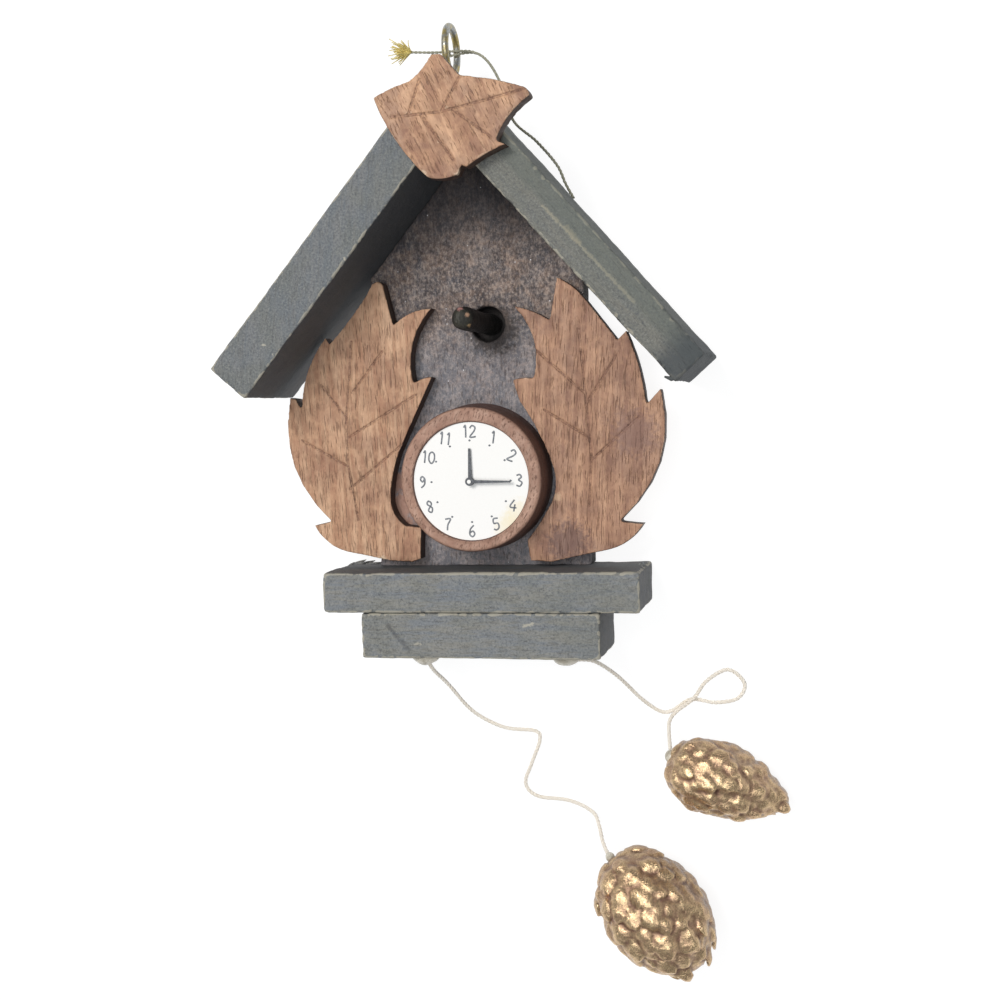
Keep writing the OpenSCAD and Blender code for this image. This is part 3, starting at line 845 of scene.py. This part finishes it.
# %% Measure how a mesh bends
def neighbour_mean(mesh, values):
    """The mean of the values at each point's neighbours."""
    ends = np.empty(len(mesh.edges) * 2, np.int32)
    mesh.edges.foreach_get("vertices", ends)
    a, b = ends[0::2], ends[1::2]
    n = len(mesh.vertices)
    count = np.bincount(a, minlength=n) + np.bincount(b, minlength=n)
    columns = values.reshape(n, -1)
    total = [np.bincount(a, columns[b, k], n) + np.bincount(b, columns[a, k], n)
             for k in range(columns.shape[1])]
    return (np.array(total).T / np.maximum(count, 1)[:, None]).reshape(values.shape)


def vertex_array(mesh, what):
    """Positions or normals of a mesh's points as an array."""
    flat = np.empty(len(mesh.vertices) * 3)
    if what == "normals":
        mesh.vertex_normals.foreach_get("vector", flat)
    else:
        mesh.vertices.foreach_get("co", flat)
    return flat.reshape(-1, 3)


def move_points(mesh, place):
    """Put a mesh's points at new places, in metres."""
    mesh.vertices.foreach_set("co", place.ravel())
    mesh.update()


def bend_of(mesh, spread):
    """How far each point stands out from its neighbours, evened out over spread steps."""
    place = vertex_array(mesh, "places")
    out = ((place - neighbour_mean(mesh, place)) * vertex_array(mesh, "normals")).sum(1)
    for _ in range(spread):
        out = 0.4 * out + 0.6 * neighbour_mean(mesh, out)
    return out


def keep_number(mesh, name, values):
    """Store one number for each point on the mesh."""
    made = mesh.attributes.get(name) or mesh.attributes.new(name, "FLOAT", "POINT")
    made.data.foreach_set("value", np.clip(values, 0, 1).astype(np.float32))


def mark_bends(mesh, grid):
    """Store edge and side on a mesh whose grid is that many millimetres."""
    full_bend = 0.09 * grid * mm
    keep_number(mesh, "edge", bend_of(mesh, 2) / full_bend)
    keep_number(mesh, "side", (0.75 - np.abs(vertex_array(mesh, "normals")[:, 2])) / 0.5)


print("bends are measured against the mean of the neighbours")

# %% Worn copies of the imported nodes
def gridded(source, grid):
    """A copy of a mesh on an even grid of that many millimetres."""
    start = closed_and_outward(source.copy())
    holder = new_object("grid", start)
    remesh = holder.modifiers.new("grid", "REMESH")
    remesh.mode = "VOXEL"
    remesh.voxel_size = grid * mm
    mesh = evaluated_mesh(holder)
    bpy.data.objects.remove(holder)
    bpy.data.meshes.remove(start)
    return shade_smooth(mesh)


def soften(mesh, steps):
    """Round a mesh by moving each point towards the middle of its neighbours."""
    place = vertex_array(mesh, "places")
    for _ in range(steps):
        place = 0.5 * place + 0.5 * neighbour_mean(mesh, place)
    move_points(mesh, place)


def weather(mesh, wave, chip, seed):
    """Push the points in and out by slow noise, and chip the arrises. All in millimetres."""
    place = vertex_array(mesh, "places") / mm
    normal = vertex_array(mesh, "normals")
    full_bend = 0.02
    sharp = np.clip(bend_of(mesh, 3) / mm / full_bend, 0, 1)
    shift = np.zeros(len(place))
    for i, p in enumerate(place):
        v = Vector(p) + Vector((seed, 2 * seed, 0))
        shift[i] = wave * noise.noise(v * 0.12) + 0.4 * wave * noise.noise(v * 0.6)
        if sharp[i] > 0.2:
            rough = noise.noise(v * 0.45) + 0.5 * noise.noise(v * 1.4)
            shift[i] -= chip * sharp[i] * max(0.0, rough - 0.15)
    move_points(mesh, (place + normal * shift[:, None]) * mm)


def show(mesh, name, material, slot, body, *nodes):
    """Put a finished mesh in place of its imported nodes, on a body, with a finish."""
    piece = new_object(name, mesh)
    mesh.name = name
    mesh.materials.clear()
    mesh.materials.append(material)
    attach(piece, body)
    if nodes:
        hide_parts(*nodes)
    return piece


def cut_veins(mesh, veins, depth, reach):
    """Press smooth cuts between the ends of each vein into a leaf's front. All in millimetres."""
    place = vertex_array(mesh, "places") / mm
    near = np.full(len(place), np.inf)
    for start, end in veins:
        a, way = np.array(start[:2]), np.array(end[:2]) - np.array(start[:2])
        share = np.clip((place[:, :2] - a) @ way / (way @ way), 0, 1)
        near = np.minimum(near, np.linalg.norm(place[:, :2] - a - share[:, None] * way, axis=1))
    front = veins[0][0][2]
    front_skin = 0.8
    inside = (near < reach) & (place[:, 2] > front - front_skin)
    place[inside, 2] = front - depth * (1 - near[inside] / reach) ** 2
    move_points(mesh, place * mm)


def wooden(node, name, material, slot, grid, smooth, wave, chip, seed, veins=None):
    """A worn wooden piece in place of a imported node, with its veins cut in if it has any."""
    mesh = gridded(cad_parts[node].data, grid)
    soften(mesh, smooth)
    weather(mesh, wave, chip, seed)
    mark_bends(mesh, grid)
    if veins:
        cut_veins(mesh, veins, depth=0.25, reach=0.5)
    print(name, "has", len(mesh.polygons), "faces")
    return show(mesh, name, material, slot, "house", node)


# %% Boards, panel and leaves
# Node, piece, finish, slot, grid, smoothing steps, depth of the waves, depth of the chips, place in
# the noise, veins.
for part in (
        ("house_block", "gabled_panel", charcoal, "stained_panel", 0.4, 2, 0.1, 0.3, 3),
        ("left_roof_board", "left_roof", slate_left, "slate_paint", 0.33, 3, 0.12, 0.25, 5),
        ("right_roof_board", "right_roof", slate_right, "slate_paint", 0.33, 3, 0.16, 0.4, 8),
        ("shelf_board", "shelf", slate_base, "slate_paint", 0.3, 5, 0.16, 0.3, 11),
        ("plinth_board", "plinth", slate_base, "slate_paint", 0.3, 5, 0.14, 0.3, 13),
        ("left_leaf", "leaf_at_the_left", leaf_left_wood, "leaf_wood", 0.2, 2, 0.06, 0.25, 17,
         left_veins),
        ("right_leaf", "leaf_at_the_right", leaf_right_wood, "leaf_wood", 0.2, 2, 0.06, 0.25, 19,
         right_veins),
        ("ridge_leaf", "leaf_on_the_ridge", leaf_ridge_wood, "leaf_wood", 0.2, 2, 0.08, 0.3, 23,
         ridge_veins)):
    wooden(*part)

# %% [markdown]
# ## Dial
#
# The ring is turned on a lathe, so it is one profile spun about the dial's axis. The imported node
# has the same profile with a plain corner, and here the front corner is rounder. The seat of the
# card is a little off the middle, so the ring's outside is shifted, and its lip is not. The numbers
# are thin pen strokes. A font could be used, but its letters are too regular, so each number is a
# short line that is smoothed and laid flat on the card.

# %% Turned ring
def spun(profile, steps):
    """A closed solid, made by spinning a profile of (radius, height) in millimetres about Z."""
    work = bmesh.new()
    chain = [work.verts.new((r * mm, 0, z * mm)) for r, z in profile]
    lines = [work.edges.new(pair) for pair in zip(chain, chain[1:])]
    bmesh.ops.spin(work, geom=chain + lines, cent=(0, 0, 0), axis=(0, 0, 1), angle=2 * math.pi,
                   steps=steps, use_merge=True, use_duplicate=False)
    bmesh.ops.remove_doubles(work, verts=work.verts, dist=1e-7)
    bmesh.ops.recalc_face_normals(work, faces=work.faces)
    mesh = bpy.data.meshes.new("spun")
    work.to_mesh(mesh)
    work.free()
    return shade_smooth(mesh)


ring_low, ring_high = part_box("dial_ring")
card_low, card_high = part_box("dial_card")
ring_r = ring_high.x / mm
ring_lift = (ring_low.y + ring_high.y) / 2 / mm
foot, top = ring_low.z / mm, ring_high.z / mm
seat = card_low.z / mm
lip = card_high.x / mm + 0.1
wall_taper = 0.5
front_r = ring_r - wall_taper
front_round = 0.8
foot_bevel = 0.3
lip_round = 0.3
wall_high = top - foot - 1.3
wall_steps = 8


def corner(middle, radius, start, end, steps):
    """Points along a round corner, from one angle in degrees to another."""
    angles = [math.radians(start + (end - start) * k / steps) for k in range(steps + 1)]
    return [(middle[0] + radius * math.cos(a), middle[1] + radius * math.sin(a)) for a in angles]


wall = [(ring_r - wall_taper * k / wall_steps, foot + foot_bevel + wall_high * k / wall_steps)
        for k in range(1, wall_steps)]
ring_profile = ([(0, foot), (ring_r - foot_bevel, foot), (ring_r, foot + foot_bevel)] + wall
                + corner((front_r - front_round, top - front_round), front_round, 0, 90, 8)
                + [(lip + 0.9, top), (lip + 0.35, top - 0.05)]
                + corner((lip + lip_round, top - lip_round), lip_round, 90, 180, 4)
                + [(lip, seat), (0, seat)])
ring_mesh = spun(ring_profile, 160)
for v in ring_mesh.vertices:
    outer = min(max((math.hypot(v.co.x, v.co.y) / mm - lip) / (ring_r - lip), 0), 1)
    v.co.y += ring_lift * outer * mm
keep_number(ring_mesh, "side", (0.8 - np.abs(vertex_array(ring_mesh, "normals")[:, 2])) / 0.5)
show(ring_mesh, "turned_ring", ring_wood, "ring_wood", "house", "dial_ring")
print("ring:", len(ring_mesh.polygons), "faces")

# %% Numbers and hour dots
strokes = {
    "0": [[(0.3, 1), (0.08, 0.8), (0.05, 0.3), (0.3, 0), (0.54, 0.3), (0.52, 0.8), (0.3, 1)]],
    "1": [[(0.16, 0.84), (0.32, 1), (0.32, 0)]],
    "2": [[(0.06, 0.78), (0.26, 1), (0.54, 0.84), (0.42, 0.5), (0.04, 0.03), (0.6, 0.06)]],
    "3": [[(0.08, 0.92), (0.36, 1), (0.52, 0.78), (0.26, 0.56), (0.56, 0.32), (0.36, 0.02), (0.04, 0.1)]],
    "4": [[(0.34, 1), (0.02, 0.36), (0.62, 0.34)], [(0.44, 0.62), (0.42, 0)]],
    "5": [[(0.54, 0.98), (0.14, 0.96), (0.12, 0.58), (0.46, 0.56), (0.54, 0.22), (0.3, 0), (0.04, 0.1)]],
    "6": [[(0.48, 0.98), (0.16, 0.66), (0.08, 0.22), (0.32, 0), (0.54, 0.22), (0.38, 0.48), (0.12, 0.34)]],
    "7": [[(0.06, 0.96), (0.56, 0.98), (0.3, 0.48), (0.24, 0)]],
    "8": [[(0.5, 0.84), (0.28, 1), (0.12, 0.76), (0.48, 0.36), (0.32, 0), (0.08, 0.24), (0.46, 0.62),
           (0.5, 0.84)]],
    "9": [[(0.5, 0.8), (0.26, 0.98), (0.1, 0.74), (0.3, 0.52), (0.5, 0.8), (0.46, 0.3), (0.14, 0.02)]],
}
number_tall = 2.1
digit_step = 0.62
number_ring = 0.84
dot_ring = 0.69
card_r = card_high.x / mm
card_front = card_high.z / mm
lean = {1: -8, 2: -28, 4: -10, 5: 8, 8: 14, 10: -6, 11: -8}


def hour_place(hour, share):
    """A point in the direction of an hour, at a share of the card's radius."""
    angle = math.radians(90 - 30 * hour)
    return Vector((math.cos(angle), math.sin(angle), 0)) * card_r * share


def number_lines(hour):
    """The pen strokes of one number, in place on the card."""
    text = str(hour)
    middle = hour_place(hour, number_ring)
    turn = Matrix.Rotation(math.radians(lean.get(hour, 0)), 4, "Z")
    lines = []
    for place, digit in enumerate(text):
        start = digit_step * (place - len(text) / 2)
        for stroke in strokes[digit]:
            flat = [(number_tall * (x * 0.95 + start), number_tall * (y - 0.5), 0) for x, y in stroke]
            lines.append([(turn @ p + middle, 1) for p in smooth_route(flat, 5)])
    return lines


def laid_flat(mesh, level, thin):
    """Flatten a mesh about z = 0 and lift it to a level, in millimetres."""
    mesh.transform(Matrix.Translation((0, 0, level * mm)) @ Matrix.Scale(thin, 4, (0, 0, 1)))
    return mesh


number_strokes = [line for hour in range(1, 13) for line in number_lines(hour)]
hour_dots = []
for hour in range(1, 13):
    dot = hour_place(hour, dot_ring)
    hour_dots.append([(dot + Vector((x, 0, 0)), fat) for x, fat in ((-0.2, 0.6), (0, 1.4), (0.2, 0.6))])
pen_r = 0.145
numbers = laid_flat(strands(number_strokes + hour_dots, pen_r), card_front + 0.01, 0.2)
show(numbers, "dial_numbers", number_ink, "hand_ink", "house")
print("numbers:", len(numbers.polygons), "faces")

# %% Finishes of the card, the hands and their pin
def finish_node(node, material):
    """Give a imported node, which stays as it is, its finish."""
    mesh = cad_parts[node].data
    mesh.materials.clear()
    mesh.materials.append(material)


finish_node("dial_card", card)
finish_node("hour_hand", hand_enamel)
finish_node("minute_hand", hand_enamel)
finish_node("hand_pin", card)

# %% [markdown]
# ## Peg, eye and glue
#
# The peg in the bird door is a dark turned stub with a chipped end. The eye is bent from one wire:
# a ring that does not quite close, and a shank that goes down into the left roof board. The caps of
# glue are uneven, so they get the same noise as the wood, only finer.

# %% Peg
peg_spots = [((0.3, 30.2, 18.4), 0.6, tint(206, 150, 142)),
             ((1.8, 27.6, 18.4), 0.5, tint(184, 154, 110)),
             ((1.6, 29.2, 18.9), 0.45, tint(190, 150, 122))]
# The stub's sides are painted near black as painted shade.
peg_wood = red_wood("peg_wood", 0.0, tint(66, 64, 54), tint(36, 36, 31), tint(22, 23, 21),
                    width=0.5, stretch=6.0, pore=tint(20, 20, 18), edge_finish=tint(92, 80, 66),
                    side_colour_and_shade=tint(20, 18, 17), spots=peg_spots)
wooden("door_peg", "door_stub", peg_wood, "peg_wood", grid=0.16, smooth=1, wave=0.3, chip=0.8, seed=29)

# %% Screw eye
eye_low, eye_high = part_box("screw_eye")
wire_r = (eye_high.x - eye_low.x) / 2 / mm
eye_outer = (eye_high.z - eye_low.z) / 2 / mm
eye_middle = (eye_low + eye_high) / 2 / mm
eye_middle.y = eye_high.y / mm - eye_outer
bend_r = eye_outer - wire_r
bend_steps = 60
ring_line = []
for k in range(bend_steps + 1):
    angle = math.radians(-78 - 336 * k / bend_steps)
    ring_line.append((eye_middle + bend_r * Vector((0, math.sin(angle), math.cos(angle))), 1))
shank_top = eye_middle - Vector((0, bend_r, 0))
shank_line = [(shank_top + Vector((0, 0.25, 0)), 1), (shank_top - Vector((0, 6, 0)), 1),
              (Vector((eye_middle.x, eye_low.y / mm + 1.5, eye_middle.z)), 0.9),
              (Vector((eye_middle.x, eye_low.y / mm, eye_middle.z)), 0.15)]
eye_mesh = strands([ring_line, shank_line], wire_r, 4)
show(eye_mesh, "bent_eye", wire, "eye_metal", "house", "screw_eye")
print("eye: wire", round(2 * wire_r, 2), "mm, outside", round(2 * eye_outer, 2), "mm")

# %% Glue
def blob(node, name):
    """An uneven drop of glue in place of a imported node."""
    mesh = gridded(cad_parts[node].data, 0.16)
    soften(mesh, 4)
    weather(mesh, wave=0.35, chip=0.0, seed=len(name))
    return show(mesh, name, glue, "hard_glue", "house", node)


blob("left_cord_glue", "glue_under_the_left")
blob("right_cord_glue", "glue_under_the_right")
left_drop = blob("left_cone_glue", "glue_on_the_left_cone")
right_drop = blob("right_cone_glue", "glue_on_the_right_cone")
print("four drops of glue")

# %% [markdown]
# ## Seed cones
#
# A seed cone is a swollen core covered in overlapping scales. On a real cone each new scale grows
# about 137.5 degrees round from the last, which packs them evenly and gives the crossing spirals.
# One scale is modelled from a small grid as a plump pad with a rounded end. Copies of it are laid
# on the core, closed and nearly flat, and the last few at the tip stand open. Thick gilding has
# filled the gaps, so the whole is laid on an even grid, softened into one skin and crumpled. Two
# numbers are kept for the gold: `high` is 1 on a lump and 0 in a hollow, and `side` is 0 on what
# faces up and 1 on what faces sideways or down.

# %% One scale and the core
golden_turn = math.radians(137.508)


def scale_shape(width, length, thick):
    """One scale that lies along +Y from the origin, with its outer face towards +Z."""
    work = bmesh.new()
    bmesh.ops.create_grid(work, x_segments=5, y_segments=6, size=0.5)
    for v in work.verts:
        u, t = v.co.x * 2, v.co.y + 0.5
        wide = 0.5 * width * (0.6 + 0.9 * t - 0.75 * t ** 3)
        round_end = 0.2 * length * u * u * t
        plump = (1 - 0.8 * u * u) * math.sin(math.pi * (0.1 + 0.72 * t))
        v.co = (u * wide * mm, (t * length - round_end) * mm, thick * plump * mm)
    bmesh.ops.recalc_face_normals(work, faces=work.faces)
    bmesh.ops.solidify(work, geom=work.faces, thickness=0.6 * thick * mm)
    bmesh.ops.recalc_face_normals(work, faces=work.faces)
    mesh = bpy.data.meshes.new("scale")
    work.to_mesh(mesh)
    work.free()
    return mesh


def swell(u, lean, blunt):
    """How fat a cone is at the share u of its length, where 1 is its fattest."""
    return math.sin(math.pi * min(max(u, 0.005), 0.995) ** lean) ** blunt


def crumple(mesh, coarse, fine, seed):
    """Push the points in and out by ridged noise, and keep them above the floor. In millimetres."""
    place = vertex_array(mesh, "places") / mm
    normal = vertex_array(mesh, "normals")
    shift = np.empty(len(place))
    for i, p in enumerate(place):
        v = Vector(p) + Vector((seed, 0, 0))
        ridge = 0.5 - abs(noise.noise(v * 0.4))
        shift[i] = coarse * (ridge - 0.25) + fine * noise.noise(v * 1.7)
    place += normal * shift[:, None]
    above_floor = 0.03
    place[:, 2] = np.maximum(place[:, 2], above_floor)
    move_points(mesh, place * mm)


def scale_places(count, lean, blunt):
    """The share of the length where each scale sits, closer together where the cone is fat."""
    slices = 400
    steps = [swell((k + 0.5) / slices, lean, blunt) for k in range(slices)]
    total, gone, k, made = sum(steps), 0.0, 0, []
    for i in range(count):
        while gone < total * (i + 0.5) / count:
            gone += steps[k]
            k += 1
        made.append(min(max(k / slices, 0.03), 0.97))
    return made


def seed_cone(name, base, axis, length, radius, lean, blunt, count, scale_size, lift, seed):
    """A gilded seed cone from base along axis, covered in count scales. Sizes in millimetres."""
    chance = random.Random(seed)
    rings = 24
    core_share = 0.92
    core = [(core_share * radius * swell(k / rings, lean, blunt), length * k / rings)
            for k in range(1, rings)]
    core_mesh = spun([(0, 0)] + core + [(0, length)], 32)
    shape = scale_shape(*scale_size)
    work = bmesh.new()
    work.from_mesh(core_mesh)
    stand = radius * 0.9
    sink = 0.3
    for i, u in enumerate(scale_places(count, lean, blunt)):
        angle = i * golden_turn
        fat = swell(u, lean, blunt)
        slope = (swell(u + 0.01, lean, blunt) - swell(u - 0.01, lean, blunt)) * stand / (0.02 * length)
        out = Vector((math.cos(angle), math.sin(angle), 0))
        way = (Vector((0, 0, 1)) + out * max(min(slope, 3), -3)).normalized()
        across = way.cross(out).normalized()
        face = across.cross(way).normalized()
        size = (0.6 + 0.4 * fat) * chance.uniform(0.7, 1.25)
        open_tip = 16 if u > 0.9 else 0
        tip_up = Matrix.Rotation(math.radians(lift + open_tip + chance.uniform(-4, 4)), 3, "X")
        skew = Matrix.Rotation(math.radians(chance.uniform(-32, 32)), 3, "Z")
        turn = Matrix((across, way, face)).transposed() @ skew @ tip_up
        root = out * stand * fat + Vector((0, 0, u * length)) - way * 0.5 * scale_size[1] * size
        first = len(work.verts)
        work.from_mesh(shape)
        work.verts.ensure_lookup_table()
        for v in work.verts[first:]:
            v.co = turn @ (v.co * size) + (root - face * sink) * mm
    upright = Vector(axis).normalized().to_track_quat("Z", "Y").to_matrix().to_4x4()
    place = Matrix.Translation(Vector(base) * mm) @ upright
    bmesh.ops.transform(work, matrix=place, verts=work.verts)
    scaly = bpy.data.meshes.new(name)
    work.to_mesh(scaly)
    work.free()
    mesh = gridded(scaly, grid=0.2)
    for used in (shape, core_mesh, scaly):
        bpy.data.meshes.remove(used)
    soften(mesh, 7)
    crumple(mesh, coarse=0.4, fine=0.06, seed=seed)
    keep_number(mesh, "high", 0.5 + bend_of(mesh, 6) / mm / 0.035)
    # side marks where the gold is painted into shade.
    keep_number(mesh, "side", (0.8 - vertex_array(mesh, "normals")[:, 2]) / 0.8)
    print(name, "has", count, "scales and", len(mesh.polygons), "faces")
    return mesh


# %% Both cones
def cone_axis(tilt, turn):
    """A direction that is tipped down by tilt and turned about Z by turn, in degrees."""
    level = math.cos(math.radians(tilt))
    turned = math.radians(turn)
    return (level * math.sin(turned), -level * math.cos(turned), -math.sin(math.radians(tilt)))


big_mesh = seed_cone("big_seed_cone", (22.8, -69.2, 9.05), cone_axis(0, 39.7), length=25, radius=9.3,
                     lean=0.95, blunt=0.5, count=120, scale_size=(3.9, 4.6, 1.1), lift=4, seed=31)
small_mesh = seed_cone("small_seed_cone", (33.4, -51, 8.95), cone_axis(12, 67.6), length=23.5,
                       radius=7, lean=0.72, blunt=0.62, count=110, scale_size=(2.9, 3.5, 0.8),
                       lift=3, seed=37)
big_cone = show(big_mesh, "big_seed_cone", gold, "gilded_cone", "house", "left_cone")
small_cone = show(small_mesh, "small_seed_cone", gold, "gilded_cone", "house", "right_cone")

# %% [markdown]
# ## Splinters
#
# Saw fibres stand up at both ends of the shelf, and one splinter hangs at the right roof's lower
# end. Each is a short strand that thins to a point.

# %% Splinters
splinter_ends = [
    ((-27.2, -16.4, 1.2), (-24.6, -15.4, 0.8)), ((-26.6, -16.4, 2.4), (-23.8, -15.6, 2.2)),
    ((-25.4, -16.3, 1.6), (-22.6, -15.5, 1.4)), ((-27.3, -16.6, 3.4), (-26.2, -15.6, 3.2)),
    ((-24.0, -16.3, 2.8), (-21.0, -15.7, 2.6)), ((29.6, -16.5, 7.4), (29.9, -15.2, 7.6)),
    ((28.8, -16.5, 6.6), (29.5, -15.4, 6.8)), ((29.5, -16.6, 8.4), (29.8, -15.6, 8.6))]
splinter_lines = []
for root, tip in splinter_ends:
    middle = (Vector(root) + Vector(tip)) / 2 + Vector((0, 0, 0.15))
    splinter_lines.append([(Vector(root), 1), (middle, 0.8), (Vector(tip), 0.15)])
splinters = strands(splinter_lines, 0.42)
show(splinters, "shelf_splinters", slate_base, "slate_paint", "house")
roof_fibre = strands([[(Vector((38.6, 17.3, 22.8)), 1), (Vector((37.3, 16.9, 23)), 0.8),
                       (Vector((36.2, 17.3, 23.1)), 0.3)]], 0.5)
show(roof_fibre, "roof_splinter", slate_right, "slate_paint", "house")
print(len(splinter_ends) + 1, "splinters")

# %% [markdown]
# ## Thread end and cords
#
# The thread's knot is a few turns of the same thread round the wire, and its cut end has burst into
# gold filaments.

# %% Knot and frayed end
def fray_lines(root, away, count, length):
    """Filaments that burst from root towards away and curl at random."""
    chance = random.Random(41)
    lines = []
    for _ in range(count):
        spread = Vector([chance.uniform(-1, 1) for _ in range(3)]) * 0.62
        aim = (Vector(away).normalized() + spread).normalized()
        curl = Vector([chance.uniform(-1, 1) for _ in range(3)]) * 0.9
        reach = length * chance.uniform(0.55, 1.0)
        lines.append([(Vector(root) + aim * reach * t + curl * t * t, 1 - 0.5 * t)
                      for t in (0, 0.2, 0.4, 0.6, 0.8, 1)])
    return lines


knot_middle = (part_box("thread_knot")[0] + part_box("thread_knot")[1]) / 2 / mm
knot_lines = []
for k in range(3):
    ring = []
    for j in range(17):
        angle = 2 * math.pi * j / 16
        wobble = Vector((0.28 * (k - 1), 0.1 * math.sin(2 * angle + k), 0))
        ring.append((knot_middle + wobble + 0.42 * Vector((0, math.cos(angle), math.sin(angle))), 1))
    knot_lines.append(ring)
fray_root = Vector(thread_points[0])
knot = show(strands(knot_lines, 0.22), "thread_wraps", metal_thread, "metallic_thread", "house",
            "thread_knot")
burst = fray_lines(fray_root + Vector((0.4, 0, 0)), away=(-1, 0.05, 0.05), count=52, length=4.0)
fray = show(strands(burst, 0.14), "gold_filaments", gold_fray, "metallic_thread", "house",
            "thread_fray")
print("knot and", len(burst), "filaments")

def declare_cord(piece, node, material):
    """Finish a cord and ride it on the house."""
    piece.data.materials.append(material)
    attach(piece, "house")
    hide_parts(node)


declare_cord(left_string, "left_cord", string)
declare_cord(right_string, "right_cord", string)
declare_cord(loop_thread, "hanging_thread", metal_thread)
